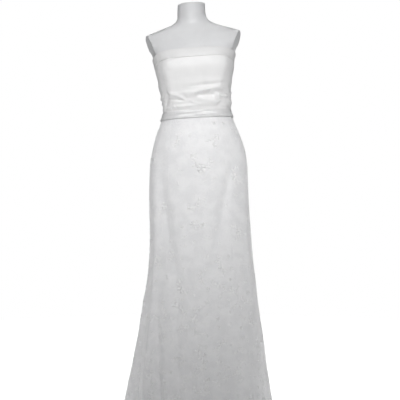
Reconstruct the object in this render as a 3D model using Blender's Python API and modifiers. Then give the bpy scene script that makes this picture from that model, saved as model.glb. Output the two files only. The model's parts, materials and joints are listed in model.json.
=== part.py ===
"""A strapless, floor-length wedding dress on a limbless dress form with a stand.

Metres, +Z up. The origin is the centre of the stand's underside, on the floor. The front of the dress
faces -Y, and left means -X. Each cut and sewn piece of the dress is one thin closed wall, lofted through
the sections below: the bodice is seven panels under a three-piece neck band, the skirt is seven gores that
carry the bodice's seams on to the hem, and a ribbon covers the waist seam. A concealed zip closes the centre
back from under the neck band's top edge, and only its slider and pull show. The form is a smooth torso that
the cloth clears, on a pole.

An angle goes round the body: 0 at the centre front, +90 degrees at the right side, 180 at the centre back.
A height picks a section. Above the hips the sections lean, so the right side of one lies higher.
"""

import math
from collections import namedtuple

import bmesh
import bpy
from mathutils import Matrix, Vector

# Driving sizes of the dress
HEM_HEIGHT = 0.012
WAIST_SEAM = 1.083
NECKLINE_FRONT = 1.312
NECKLINE_SIDE_DROP = 0.026
NECKLINE_BACK_DROP = 0.012
NECKLINE_CORNER = 36.0
BAND_HEIGHT = 0.032
RIBBON_LOW = 1.070
RIBBON_HIGH = 1.0965
SEAM_GAP = 0.0003
BODICE_WALL = 0.0012
SKIRT_WALL = 0.0015
BAND_WALL = 0.002
RIBBON_WALL = 0.001

# Driving sizes of the form and its stand
FORM_CLEARANCE = 0.0008
FORM_BOTTOM = 0.700
FORM_TOP = 1.4835
ARM_PLATE_LOW = (0.1452, 1.289)
ARM_PLATE_TIP = (0.1722, 1.372)
ARM_PLATE_BACK = 0.030
ARM_PLATE_TURN = 9.0
ARM_CUTTER = 0.20
POLE_RADIUS = 0.0125
POLE_GAP = 0.0003
POLE_SIDES = 24
BASE_RADIUS = 0.150
BASE_THICKNESS = 0.008
COLLAR_RADIUS = 0.022
COLLAR_HEIGHT = 0.038
COLLAR_FLOOR = 0.005
FLANGE_RADIUS = 0.050
FLANGE_THICKNESS = 0.006
SOCKET_LENGTH = 0.060
SOCKET_RADIUS = 0.019
SOCKET_ROOF = 0.004
STAND_FILLET = 0.004
STAND_BEVEL = 0.002

# Driving sizes of the zip's slider and pull, which are placed from the slider's middle
ZIP_HEIGHT = 1.264
SLIDER_WIDTH = 0.0064
SLIDER_LENGTH = 0.0090
SLIDER_DEPTH = 0.0020
SLIDER_EDGE = 0.0004
ARCH_WIDTH = 0.0018
ARCH_LENGTH = 0.0064
ARCH_DEPTH = 0.0034
ARCH_STRIP = 0.0009
PULL_THICKNESS = 0.0010
PULL_BAR_RADIUS = 0.0006
PULL_BAR_SIDES = 12
PULL_RAIL = 0.0012
PULL_WINDOW_WIDTH = 0.0028
PULL_WINDOW_FOOT = -0.0058
# Half widths of the pull and their heights over its bar
PULL_OUTLINE = (
    (0.0026, 0.0009),
    (0.0026, -0.0074),
    (0.0017, -0.0112),
    (0.0030, -0.0196),
    (0.0024, -0.0226),
    (0.0010, -0.0240),
)

# Sections of the dress's outer face: the centre's shift to the right, half the width, the reach forward and
# back from the pole's axis, how square the outline is in front and behind (2 is an ellipse), and the lean.
Section = namedtuple("Section", "height centre half_width front back square_front square_back lean")
GOWN_SECTIONS = (
    Section(HEM_HEIGHT, 0.0000, 0.2750, 0.270, 0.262, 2.1, 2.1, 0.0),
    Section(0.100, 0.0025, 0.2590, 0.249, 0.247, 2.1, 2.1, 0.0),
    Section(0.200, 0.0050, 0.2408, 0.224, 0.228, 2.2, 2.1, 0.0),
    Section(0.300, 0.0080, 0.2245, 0.197, 0.205, 2.2, 2.1, 0.0),
    Section(0.400, 0.0080, 0.2085, 0.172, 0.183, 2.2, 2.1, 0.0),
    Section(0.500, 0.0110, 0.1942, 0.151, 0.163, 2.2, 2.1, 0.0),
    Section(0.600, 0.0095, 0.1840, 0.136, 0.148, 2.2, 2.1, 0.0),
    Section(0.700, 0.0060, 0.1803, 0.126, 0.138, 2.2, 2.1, 0.0),
    Section(0.800, 0.0018, 0.1785, 0.119, 0.134, 2.3, 2.2, 0.0),
    Section(0.900, 0.0010, 0.1752, 0.112, 0.132, 2.3, 2.3, 0.0),
    Section(0.940, 0.0015, 0.1700, 0.109, 0.127, 2.4, 2.3, 0.7),
    Section(0.980, -0.0003, 0.1605, 0.105, 0.117, 2.4, 2.3, 1.4),
    Section(1.020, -0.0033, 0.1470, 0.099, 0.102, 2.5, 2.3, 2.2),
    Section(1.050, -0.0048, 0.1345, 0.094, 0.090, 2.5, 2.3, 2.9),
    Section(WAIST_SEAM, -0.0053, 0.1253, 0.091, 0.081, 2.6, 2.3, 3.6),
    Section(1.100, -0.0048, 0.1213, 0.091, 0.079, 2.6, 2.3, 3.7),
    Section(1.120, -0.0048, 0.1182, 0.093, 0.079, 2.6, 2.3, 3.8),
    Section(1.145, -0.0072, 0.1202, 0.097, 0.080, 2.6, 2.3, 3.8),
    Section(1.170, -0.0100, 0.1232, 0.103, 0.082, 2.7, 2.3, 3.9),
    Section(1.195, -0.0115, 0.1290, 0.111, 0.085, 2.7, 2.3, 4.0),
    Section(1.220, -0.0112, 0.1352, 0.118, 0.088, 2.8, 2.3, 4.1),
    Section(1.245, -0.0125, 0.1408, 0.122, 0.091, 2.8, 2.3, 4.1),
    Section(1.270, -0.0148, 0.1418, 0.120, 0.094, 2.8, 2.3, 4.2),
    Section(1.290, -0.0150, 0.1462, 0.115, 0.097, 2.8, 2.3, 4.2),
    Section(1.305, -0.0156, 0.1518, 0.110, 0.099, 2.8, 2.4, 4.2),
    Section(1.320, -0.0162, 0.1590, 0.104, 0.101, 2.7, 2.4, 4.2),
)
# The form under the skirt, and from its shoulders to the top of its neck. The shoulders reach past the
# plates where the arms would start, and the plates are cut afterwards.
FORM_HIP_SECTIONS = (
    Section(FORM_BOTTOM, 0.0010, 0.1600, 0.110, 0.116, 2.3, 2.3, 0.0),
    Section(0.760, 0.0012, 0.1655, 0.111, 0.122, 2.3, 2.3, 0.0),
    Section(0.830, 0.0010, 0.1695, 0.108, 0.127, 2.3, 2.3, 0.0),
    Section(0.900, 0.0010, 0.1665, 0.106, 0.126, 2.3, 2.3, 0.0),
    Section(0.940, 0.0010, 0.1630, 0.104, 0.121, 2.4, 2.3, 0.7),
    Section(0.980, -0.0003, 0.1550, 0.100, 0.112, 2.4, 2.3, 1.4),
    Section(1.020, -0.0033, 0.1427, 0.095, 0.098, 2.5, 2.3, 2.2),
    Section(1.050, -0.0048, 0.1313, 0.091, 0.087, 2.5, 2.3, 2.9),
    Section(1.066, -0.0050, 0.1265, 0.0895, 0.0825, 2.5, 2.3, 3.3),
)
FORM_SHOULDER_SECTIONS = (
    Section(1.336, -0.0171, 0.1740, 0.091, 0.098, 2.5, 2.4, 4.0),
    Section(1.352, -0.0178, 0.1830, 0.079, 0.094, 2.4, 2.4, 3.8),
    Section(1.368, -0.0187, 0.1840, 0.068, 0.089, 2.3, 2.3, 3.6),
    Section(1.380, -0.0190, 0.1650, 0.060, 0.084, 2.2, 2.3, 3.5),
    Section(1.390, -0.0194, 0.1380, 0.055, 0.079, 2.1, 2.2, 3.5),
    Section(1.400, -0.0206, 0.1080, 0.051, 0.074, 2.0, 2.1, 3.6),
    Section(1.410, -0.0209, 0.0805, 0.048, 0.068, 2.0, 2.0, 3.6),
    Section(1.421, -0.0216, 0.0622, 0.047, 0.062, 2.0, 2.0, 3.7),
    Section(1.436, -0.0234, 0.0522, 0.047, 0.056, 2.0, 2.0, 3.8),
    Section(1.460, -0.0251, 0.0500, 0.048, 0.052, 2.0, 2.0, 3.9),
    Section(FORM_TOP, -0.0252, 0.0492, 0.049, 0.050, 2.0, 2.0, 4.0),
)

# Angles of the seams at a height: the back, side and front seams of each side. Every piece has its columns
# of points on the same angles, so that walls that lie on each other bend at the same places.
Seams = namedtuple("Seams", "height back_left side_left front_left front_right side_right back_right")
SEAM_ANGLES = (
    Seams(HEM_HEIGHT, -126.0, -90.0, -46.0, 46.0, 90.0, 126.0),
    Seams(0.900, -126.0, -90.0, -47.0, 43.0, 90.0, 126.0),
    Seams(WAIST_SEAM, -146.0, -90.0, -50.0, 41.0, 90.0, 146.0),
    Seams(1.190, -142.0, -90.0, -48.0, 47.0, 90.0, 142.0),
    Seams(1.300, -138.0, -90.0, -47.0, 52.0, 90.0, 138.0),
    Seams(FORM_TOP, -138.0, -90.0, -47.0, 47.0, 90.0, 138.0),
)
COLUMNS_BETWEEN_SEAMS = (8, 6, 6, 14, 6, 6, 8)

# Columns where a panel starts and ends, counted from the centre back round by the left
BACK_LEFT, SIDE_LEFT, FRONT_LEFT, FRONT_RIGHT, SIDE_RIGHT, BACK_RIGHT, ALL_ROUND = (
    sum(COLUMNS_BETWEEN_SEAMS[: n + 1]) for n in range(len(COLUMNS_BETWEEN_SEAMS))
)

# A cut piece of cloth: its first and last columns, the shares of the way from its low to its high edge where
# its rows lie, those edges' heights by angle, the face it follows, how proud it stands of it, and its wall
Piece = namedtuple("Piece", "name first last levels low high surface proud wall")

# Two low lobes that cups and darts give the front, shared by the bodice and the form
CUP_RISE = 0.006
CUP_ANGLE = 38.0
CUP_HALF_ANGLE = 24.0
CUP_HEIGHT = 1.248
CUP_HALF_HEIGHT = 0.034

# Cloth to spare between the bust and the ribbon, which the creases gather
FULLNESS = 0.0032
FULLNESS_LOW = 1.098
FULLNESS_HIGH = 1.215
FULLNESS_FADE = 0.014

# Creases across the midriff, from one angle and height to another; a trough has a negative depth. Each runs
# a little past its ends, and fades there over a share of its length.
CREASE_REACH = 0.12
CREASE_FADE = 0.35
Crease = namedtuple("Crease", "from_angle from_height to_angle to_height half_width depth")
BODICE_CREASES = (
    Crease(-19.0, 1.1765, 50.0, 1.1860, 0.0060, -0.0030),
    Crease(-52.0, 1.1510, 44.0, 1.1690, 0.0085, 0.0042),
    Crease(-53.0, 1.1420, -24.0, 1.1300, 0.0055, -0.0038),
    Crease(-26.0, 1.1260, 8.0, 1.1200, 0.0060, -0.0030),
    Crease(1.0, 1.1470, 37.0, 1.1455, 0.0060, -0.0036),
    Crease(38.0, 1.1580, 64.0, 1.1430, 0.0060, -0.0030),
    Crease(3.0, 1.1360, 46.0, 1.1180, 0.0080, 0.0034),
    Crease(-52.0, 1.1130, -8.0, 1.1110, 0.0070, 0.0030),
    Crease(-10.0, 1.1060, 45.0, 1.1040, 0.0060, -0.0026),
    Crease(-88.0, 1.1480, -62.0, 1.1600, 0.0080, 0.0026),
    Crease(72.0, 1.1300, 104.0, 1.1400, 0.0080, 0.0026),
    Crease(112.0, 1.1600, 166.0, 1.1500, 0.0085, 0.0034),
    Crease(-168.0, 1.1520, -116.0, 1.1640, 0.0085, 0.0034),
    Crease(118.0, 1.1280, 172.0, 1.1240, 0.0080, -0.0028),
    Crease(-172.0, 1.1260, -112.0, 1.1300, 0.0080, -0.0028),
)

# Folds down the skirt. A fold starts at an angle and height and drifts to another angle lower down.
# Its depth grows to the full size at its foot; a trough is negative. It ends there over twice the length of
# FOLD_ENDING, or runs out at the hem.
FOLD_ENDING = 0.10
FOLD_GROWTH = 1.15
Fold = namedtuple("Fold", "top_angle top_height foot_angle foot_height half_angle depth")
SKIRT_FOLDS = (
    Fold(-66.0, 0.930, -44.0, HEM_HEIGHT, 7.0, 0.0100),
    Fold(-52.0, 0.940, -8.0, 0.400, 9.0, -0.0045),
    Fold(-44.0, 0.560, -31.0, HEM_HEIGHT, 6.5, -0.0085),
    Fold(-64.0, 0.520, -60.0, HEM_HEIGHT, 7.0, -0.0090),
    Fold(54.0, 0.930, 14.0, 0.520, 9.0, -0.0040),
    Fold(68.0, 0.880, 58.0, 0.300, 9.0, 0.0035),
    Fold(4.0, 0.420, 8.0, HEM_HEIGHT, 12.0, 0.0060),
    Fold(44.0, 0.440, 38.0, HEM_HEIGHT, 9.0, -0.0050),
    Fold(72.0, 0.480, 66.0, HEM_HEIGHT, 8.0, 0.0060),
    Fold(104.0, 0.700, 108.0, HEM_HEIGHT, 8.0, -0.0140),
    Fold(124.0, 0.760, 130.0, HEM_HEIGHT, 9.0, 0.0160),
    Fold(148.0, 0.780, 153.0, HEM_HEIGHT, 7.5, -0.0150),
    Fold(170.0, 0.820, 172.0, HEM_HEIGHT, 7.0, 0.0150),
    Fold(-170.0, 0.820, -170.0, HEM_HEIGHT, 7.0, 0.0150),
    Fold(-147.0, 0.780, -150.0, HEM_HEIGHT, 7.5, -0.0150),
    Fold(-126.0, 0.740, -129.0, HEM_HEIGHT, 9.0, 0.0160),
    Fold(-102.0, 0.660, -106.0, HEM_HEIGHT, 8.0, -0.0130),
)

BODICE_ROWS_LOW = 15
BODICE_ROWS_HIGH = 6
BODICE_ROWS_SPLIT = 0.56
SKIRT_ROWS = 22
SKIRT_ROW_POWER = 0.85
SKIRT_TOP_ROWS = (1.058, RIBBON_LOW, WAIST_SEAM)
BAND_ROWS = 3
SHARP_ANGLE = 40.0
# A point's height and angle depend on each other, and settle in these rounds
HEIGHT_ROUNDS = 4

SATIN = ("satin", (0.86, 0.86, 0.85), 0.42, 0.0)
LACED_SATIN = ("laced_satin", (0.85, 0.85, 0.84), 0.55, 0.0)
RIBBON_SATIN = ("ribbon_satin", (0.83, 0.83, 0.83), 0.30, 0.0)
FORM_SHELL = ("form_shell", (0.74, 0.74, 0.76), 0.45, 0.0)
STEEL = ("steel", (0.62, 0.62, 0.63), 0.28, 1.0)
NYLON = ("white_nylon", (0.85, 0.85, 0.85), 0.35, 0.0)


class SmoothTable:
    """Rows of named sizes by height, joined by smooth curves that never overshoot a row."""

    def __init__(self, rows):
        self.rows = sorted(rows)
        self.slopes = [self._slopes_at(n) for n in range(len(self.rows))]

    def _step(self, n):
        low, high = self.rows[n], self.rows[n + 1]
        return [(b - a) / (high.height - low.height) for a, b in zip(low, high)]

    def _slopes_at(self, n):
        if n == 0:
            return self._step(0)
        if n == len(self.rows) - 1:
            return self._step(n - 1)
        pairs = zip(self._step(n - 1), self._step(n))
        return [2 * a * b / (a + b) if a * b > 0 else 0.0 for a, b in pairs]

    def at(self, height):
        """The row at a height between the first and the last."""
        n = 0
        while n < len(self.rows) - 2 and height > self.rows[n + 1].height:
            n += 1
        low, high = self.rows[n], self.rows[n + 1]
        span = high.height - low.height
        t = min(max((height - low.height) / span, 0.0), 1.0)
        keep, rise = (1 + 2 * t) * (1 - t) ** 2, t * (1 - t) ** 2
        take, fall = t * t * (3 - 2 * t), t * t * (t - 1)
        values = [
            keep * a + rise * span * c + take * b + fall * span * d
            for a, b, c, d in zip(low, high, self.slopes[n], self.slopes[n + 1])
        ]
        return type(low)(height, *values[1:])


def shrunk(section, inset):
    """A section drawn in on every side."""
    return section._replace(
        half_width=section.half_width - inset, front=section.front - inset, back=section.back - inset
    )


def form_sections():
    """The form's sections: its hips, the bodice's sections drawn in under the cloth, and its shoulders."""
    inset = BODICE_WALL + FORM_CLEARANCE
    worn = [shrunk(section, inset) for section in GOWN_SECTIONS if section.height >= WAIST_SEAM]
    return [*FORM_HIP_SECTIONS, *worn, *FORM_SHOULDER_SECTIONS]


GOWN = SmoothTable(GOWN_SECTIONS)
FORM = SmoothTable(form_sections())
SEAMS = SmoothTable(SEAM_ANGLES)


def smooth_step(value):
    """0 below 0, 1 above 1, and an even curve between."""
    t = min(max(value, 0.0), 1.0)
    return t * t * (3 - 2 * t)


def hump(offset, half_width):
    """1 in the middle of a fold, falling smoothly to nothing on both sides."""
    return math.exp(-((offset / half_width) ** 2))


def turn_between(angle, other):
    """The shortest turn from one angle to another, in degrees."""
    return (angle - other + 180.0) % 360.0 - 180.0


def section_point(section, angle, outward=0.0):
    """The point of a section at an angle, moved outward level with the floor."""
    turn = math.radians(angle)
    across, ahead = math.sin(turn), math.cos(turn)
    depth, square = (
        (section.front, section.square_front) if ahead > 0 else (section.back, section.square_back)
    )
    reach = (abs(across / section.half_width) ** square + abs(ahead / depth) ** square) ** (-1 / square)
    x, y = reach * across, -reach * ahead
    normal = Vector(
        (
            math.copysign(abs(x / section.half_width) ** (square - 1) / section.half_width, x),
            math.copysign(abs(y / depth) ** (square - 1) / depth, y),
        )
    ).normalized()
    x, y = x + normal.x * outward, y + normal.y * outward
    return Vector((section.centre + x, y, section.height + x * math.tan(math.radians(section.lean))))


def cups(angle, height):
    """How far the two lobes of the bust stand out at a point."""
    turned = hump(turn_between(abs(angle), CUP_ANGLE), CUP_HALF_ANGLE)
    return CUP_RISE * turned * hump(height - CUP_HEIGHT, CUP_HALF_HEIGHT)


def crease_relief(crease, angle, height):
    """How far one crease moves the cloth at a point."""
    turn = turn_between(crease.to_angle, crease.from_angle)
    along = turn_between(angle, crease.from_angle) / turn
    level = crease.from_height + (crease.to_height - crease.from_height) * min(max(along, 0.0), 1.0)
    start = smooth_step((CREASE_REACH + along) / CREASE_FADE)
    end = smooth_step((CREASE_REACH + 1.0 - along) / CREASE_FADE)
    return crease.depth * start * end * hump(height - level, crease.half_width)


def bodice_relief(angle, height):
    """The bodice's fullness and creases, which never press into the form."""
    held = smooth_step((height - FULLNESS_LOW) / FULLNESS_FADE) * smooth_step(
        (FULLNESS_HIGH - height) / (2 * FULLNESS_FADE)
    )
    moved = FULLNESS + sum(crease_relief(crease, angle, height) for crease in BODICE_CREASES)
    return held * max(moved, 0.0)


def fold_relief(fold, angle, height):
    """How far one fold moves the skirt at a point."""
    down = (fold.top_height - height) / (fold.top_height - fold.foot_height)
    if down <= 0:
        return 0.0
    middle = fold.top_angle + (fold.foot_angle - fold.top_angle) * min(down, 1.0)
    ending = 1.0
    if fold.foot_height > HEM_HEIGHT:
        ending = smooth_step((height - fold.foot_height + FOLD_ENDING) / (2 * FOLD_ENDING))
    shape = hump(turn_between(angle, middle), fold.half_angle)
    return fold.depth * smooth_step(min(down, 1.0) * FOLD_GROWTH) * ending * shape


def bodice_point(angle, height, outward=0.0):
    """A point of the bodice's outer face."""
    relief = cups(angle, height) + bodice_relief(angle, height)
    return section_point(GOWN.at(height), angle, outward + relief)


def skirt_point(angle, height, outward=0.0):
    """A point of the skirt's outer face."""
    relief = sum(fold_relief(fold, angle, height) for fold in SKIRT_FOLDS)
    return section_point(GOWN.at(height), angle, outward + relief)


def form_point(angle, height):
    """A point of the form's face."""
    return section_point(FORM.at(height), angle, cups(angle, height))


def waist_point(angle, height, outward=0.0):
    """A point of the plain face that the ribbon lies on."""
    return section_point(GOWN.at(height), angle, outward)


def hem(_angle):
    """The height of the skirt's hem."""
    return HEM_HEIGHT


def waist_seam(_angle):
    """The height of the seam between the skirt and the bodice."""
    return WAIST_SEAM


def neckline(angle):
    """The height of the dress's top edge: level across the front, lower at the sides and back."""
    away = abs(angle)
    side = smooth_step((away - NECKLINE_CORNER) / (90.0 - NECKLINE_CORNER))
    back = smooth_step((away - 90.0) / 90.0)
    return NECKLINE_FRONT - NECKLINE_SIDE_DROP * side - NECKLINE_BACK_DROP * back


def band_seam(angle):
    """The height of the seam between the bodice and its neck band."""
    return neckline(angle) - BAND_HEIGHT


def column_angles(height):
    """The angles of all columns at a height, from the centre back round by the left and the front."""
    knots = [-180.0, *SEAMS.at(height)[1:], 180.0]
    angles = [knots[0]]
    for start, end, count in zip(knots, knots[1:], COLUMNS_BETWEEN_SEAMS):
        angles += [start + (end - start) * (n + 1) / count for n in range(count)]
    return angles


def grid_points(piece, outward):
    """Rows of a piece's points, moved outward, with its edges drawn in by half the gap of a seam."""
    rows = []
    for level in piece.levels:
        row = []
        for column in range(piece.first, piece.last + 1):
            angle = 0.0
            for _ in range(HEIGHT_ROUNDS):
                height = piece.low(angle) + level * (piece.high(angle) - piece.low(angle))
                angle = column_angles(height)[column]
            row.append(piece.surface(angle, height, outward))
        rows.append(row)
    for row in rows:
        for edge, inner in ((0, 1), (-1, -2)):
            row[edge] = row[edge] + (row[inner] - row[edge]).normalized() * SEAM_GAP / 2
    for edge, inner in ((0, 1), (-1, -2)):
        rows[edge] = [a + (b - a).normalized() * SEAM_GAP / 2 for a, b in zip(rows[edge], rows[inner])]
    return rows


def mesh_object(name, points, faces, material, collection):
    """A smooth-shaded mesh object from points and faces."""
    mesh = bpy.data.meshes.new(name)
    mesh.from_pydata([tuple(point) for point in points], [], faces)
    mesh.shade_smooth()
    mesh.set_sharp_from_angle(angle=math.radians(SHARP_ANGLE))
    mesh.materials.append(material)
    part = bpy.data.objects.new(name, mesh)
    collection.objects.link(part)
    return part


def cloth_wall(piece, material, collection):
    """One cut piece of cloth: a wall between its outer face and the same face moved in.

    Both faces move level with the floor from the same section, so that walls which meet at a seam stay
    parallel and their gap is even right through.
    """
    outer = grid_points(piece, piece.proud)
    inner = grid_points(piece, piece.proud - piece.wall)
    across, up = len(outer[0]), len(outer)
    faces = []
    for j in range(up - 1):
        for i in range(across - 1):
            n = j * across + i
            faces.append((n, n + 1, n + across + 1, n + across))
    behind = up * across
    faces += [tuple(behind + n for n in reversed(face)) for face in faces]
    rim = [*range(across)]
    rim += [j * across + across - 1 for j in range(1, up)]
    rim += [(up - 1) * across + i for i in range(across - 2, -1, -1)]
    rim += [j * across for j in range(up - 2, 0, -1)]
    for a, b in zip(rim, rim[1:] + rim[:1]):
        faces.append((b, a, behind + a, behind + b))
    points = [point for rows in (outer, inner) for row in rows for point in row]
    return mesh_object(piece.name, points, faces, material, collection)


def plain_material(finish):
    """A material from a named finish: its name, colour, roughness and metallic value."""
    name, colour, roughness, metallic = finish
    material = bpy.data.materials.new(name)
    material.use_nodes = True
    shader = material.node_tree.nodes["Principled BSDF"]
    shader.inputs["Base Color"].default_value = (*colour, 1.0)
    shader.inputs["Roughness"].default_value = roughness
    shader.inputs["Metallic"].default_value = metallic
    return material


def bodice_levels():
    """Shares of the bodice's height: close rows over the creases, wider ones over the bust."""
    low = [BODICE_ROWS_SPLIT * n / BODICE_ROWS_LOW for n in range(BODICE_ROWS_LOW)]
    rest = 1.0 - BODICE_ROWS_SPLIT
    return low + [BODICE_ROWS_SPLIT + rest * n / BODICE_ROWS_HIGH for n in range(BODICE_ROWS_HIGH + 1)]


def skirt_levels():
    """Shares of the skirt's height: rows that close up toward the waist, the last three at the ribbon."""
    tops = [(height - HEM_HEIGHT) / (WAIST_SEAM - HEM_HEIGHT) for height in SKIRT_TOP_ROWS]
    return [tops[0] * level**SKIRT_ROW_POWER for level in even_levels(SKIRT_ROWS)] + tops[1:]


def even_levels(count):
    """Even shares from 0 to 1."""
    return [n / count for n in range(count + 1)]


def make_bodice(collection):
    """The seven bodice panels, between the waist seam and the neck band."""
    satin = plain_material(SATIN)
    panels = {
        "bodice_centre_back_left": (0, BACK_LEFT),
        "bodice_side_back_left": (BACK_LEFT, SIDE_LEFT),
        "bodice_side_front_left": (SIDE_LEFT, FRONT_LEFT),
        "bodice_centre_front": (FRONT_LEFT, FRONT_RIGHT),
        "bodice_side_front_right": (FRONT_RIGHT, SIDE_RIGHT),
        "bodice_side_back_right": (SIDE_RIGHT, BACK_RIGHT),
        "bodice_centre_back_right": (BACK_RIGHT, ALL_ROUND),
    }
    for name, (first, last) in panels.items():
        piece = Piece(
            name, first, last, bodice_levels(), waist_seam, band_seam, bodice_point, 0.0, BODICE_WALL
        )
        cloth_wall(piece, satin, collection)


def make_neck_band(collection):
    """The folded band along the neckline, in a front and two backs, a little proud of the bodice."""
    satin = plain_material(SATIN)
    proud = BAND_WALL - BODICE_WALL
    bands = {
        "neck_band_back_left": (0, SIDE_LEFT),
        "neck_band_front": (SIDE_LEFT, SIDE_RIGHT),
        "neck_band_back_right": (SIDE_RIGHT, ALL_ROUND),
    }
    for name, (first, last) in bands.items():
        levels = even_levels(BAND_ROWS)
        piece = Piece(name, first, last, levels, band_seam, neckline, bodice_point, proud, BAND_WALL)
        cloth_wall(piece, satin, collection)


def make_skirt(collection):
    """The skirt's seven gores, from the waist seam to the hem."""
    laced = plain_material(LACED_SATIN)
    gores = {
        "skirt_centre_back_left": (0, BACK_LEFT),
        "skirt_side_back_left": (BACK_LEFT, SIDE_LEFT),
        "skirt_side_front_left": (SIDE_LEFT, FRONT_LEFT),
        "skirt_centre_front": (FRONT_LEFT, FRONT_RIGHT),
        "skirt_side_front_right": (FRONT_RIGHT, SIDE_RIGHT),
        "skirt_side_back_right": (SIDE_RIGHT, BACK_RIGHT),
        "skirt_centre_back_right": (BACK_RIGHT, ALL_ROUND),
    }
    for name, (first, last) in gores.items():
        piece = Piece(name, first, last, skirt_levels(), hem, waist_seam, skirt_point, 0.0, SKIRT_WALL)
        cloth_wall(piece, laced, collection)


def make_ribbon(collection):
    """The ribbon over the waist seam, open at the zip, with its middle row of points on the seam."""
    middle = (WAIST_SEAM - RIBBON_LOW) / (RIBBON_HIGH - RIBBON_LOW)
    piece = Piece(
        "waist_ribbon",
        0,
        ALL_ROUND,
        (0.0, middle, 1.0),
        lambda angle: RIBBON_LOW,
        lambda angle: RIBBON_HIGH,
        waist_point,
        SEAM_GAP + RIBBON_WALL,
        RIBBON_WALL,
    )
    cloth_wall(piece, plain_material(RIBBON_SATIN), collection)


def arm_cutter(side, cutters):
    """A box whose inner face is the plate where an arm would start; side is -1 or +1.

    The plate leans out toward the shoulder's tip and turns a little to the front about its back rim.
    """
    ends = []
    for half, height in (ARM_PLATE_LOW, ARM_PLATE_TIP):
        section = FORM.at(height)
        lift = side * half * math.tan(math.radians(section.lean))
        ends.append(Vector((section.centre + side * half, ARM_PLATE_BACK, height + lift)))
    up = (ends[1] - ends[0]).normalized()
    to_front = Matrix.Rotation(-side * math.radians(ARM_PLATE_TURN), 3, up)
    outward = to_front @ Vector((side * up.z, 0.0, -side * up.x))
    bpy.ops.mesh.primitive_cube_add(size=ARM_CUTTER)
    cutter = bpy.context.object
    cutter.name = f"arm_cutter_{'left' if side < 0 else 'right'}"
    turn = Matrix((outward, up.cross(outward), up)).transposed()
    middle = ends[0] + (up + outward) * ARM_CUTTER / 2
    cutter.matrix_world = Matrix.Translation(middle) @ turn.to_4x4()
    cutter.hide_render = True
    cutter.display_type = "WIRE"
    for home in list(cutter.users_collection):
        home.objects.unlink(cutter)
    cutters.objects.link(cutter)
    return cutter


def make_form(collection, cutters):
    """The torso: rings from the flat bottom to the flat top of the neck, with plates cut for the arms."""
    rings = []
    for section in FORM.rows:
        angles = column_angles(section.height)[:-1]
        rings.append([form_point(angle, section.height) for angle in angles])
    around = len(rings[0])
    faces = []
    for j in range(len(rings) - 1):
        for i in range(around):
            this, other = j * around + i, j * around + (i + 1) % around
            faces.append((this, other, other + around, this + around))
    top = (len(rings) - 1) * around
    faces.append(tuple(range(around))[::-1])
    faces.append(tuple(range(top, top + around)))
    points = [point for ring in rings for point in ring]
    torso = mesh_object("form_torso", points, faces, plain_material(FORM_SHELL), collection)
    for side in (-1, 1):
        cut = torso.modifiers.new("arm_plate", "BOOLEAN")
        cut.operation = "DIFFERENCE"
        cut.object = arm_cutter(side, cutters)
    return torso


def turned(name, profile, material, collection):
    """A turned piece from a profile of (radius, height) that runs down its outer side."""
    mesh = bpy.data.meshes.new(name)
    edges = [(n, n + 1) for n in range(len(profile) - 1)]
    mesh.from_pydata([(radius, 0.0, height) for radius, height in profile], edges, [])
    mesh.materials.append(material)
    part = bpy.data.objects.new(name, mesh)
    collection.objects.link(part)
    spin = part.modifiers.new("turn", "SCREW")
    spin.steps = spin.render_steps = POLE_SIDES
    spin.use_merge_vertices = True
    spin.merge_threshold = 0.0001
    spin.use_normal_calculate = False
    return part


def make_stand(collection):
    """The base plate with its collar, the pole, and the socket under the form."""
    steel = plain_material(STEEL)
    bore = POLE_RADIUS + POLE_GAP
    turned(
        "stand_base",
        [
            (0.0, COLLAR_FLOOR),
            (bore, COLLAR_FLOOR),
            (bore, COLLAR_HEIGHT),
            (COLLAR_RADIUS - STAND_BEVEL, COLLAR_HEIGHT),
            (COLLAR_RADIUS, COLLAR_HEIGHT - STAND_BEVEL),
            (COLLAR_RADIUS, BASE_THICKNESS + STAND_FILLET),
            (COLLAR_RADIUS + STAND_FILLET, BASE_THICKNESS),
            (BASE_RADIUS - STAND_BEVEL, BASE_THICKNESS),
            (BASE_RADIUS, BASE_THICKNESS - STAND_BEVEL),
            (BASE_RADIUS, 0.0),
            (0.0, 0.0),
        ],
        steel,
        collection,
    )
    flange_top = FORM_BOTTOM - POLE_GAP
    flange_low = flange_top - FLANGE_THICKNESS
    socket_low = flange_top - SOCKET_LENGTH
    bore_roof = flange_top - SOCKET_ROOF
    turned(
        "stand_socket",
        [
            (0.0, flange_top),
            (FLANGE_RADIUS, flange_top),
            (FLANGE_RADIUS, flange_low),
            (SOCKET_RADIUS + STAND_FILLET, flange_low),
            (SOCKET_RADIUS, flange_low - STAND_FILLET),
            (SOCKET_RADIUS, socket_low),
            (bore, socket_low),
            (bore, bore_roof),
            (0.0, bore_roof),
        ],
        steel,
        collection,
    )
    pole_low, pole_high = COLLAR_FLOOR + POLE_GAP, bore_roof - POLE_GAP
    turned(
        "stand_pole",
        [(0.0, pole_high), (POLE_RADIUS, pole_high), (POLE_RADIUS, pole_low), (0.0, pole_low)],
        steel,
        collection,
    )


def box_mesh(low, high):
    """A new bmesh holding one box between two corners."""
    box = bmesh.new()
    bmesh.ops.create_cube(box, size=1.0)
    size = [b - a for a, b in zip(low, high)]
    middle = [(a + b) / 2 for a, b in zip(low, high)]
    bmesh.ops.scale(box, vec=size, verts=box.verts)
    bmesh.ops.translate(box, vec=middle, verts=box.verts)
    return box


def small_part(name, shape, material, collection, frame):
    """An object from a bmesh, placed in a frame."""
    mesh = bpy.data.meshes.new(name)
    shape.to_mesh(mesh)
    shape.free()
    mesh.materials.append(material)
    part = bpy.data.objects.new(name, mesh)
    part.parent = frame
    collection.objects.link(part)
    return part


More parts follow.
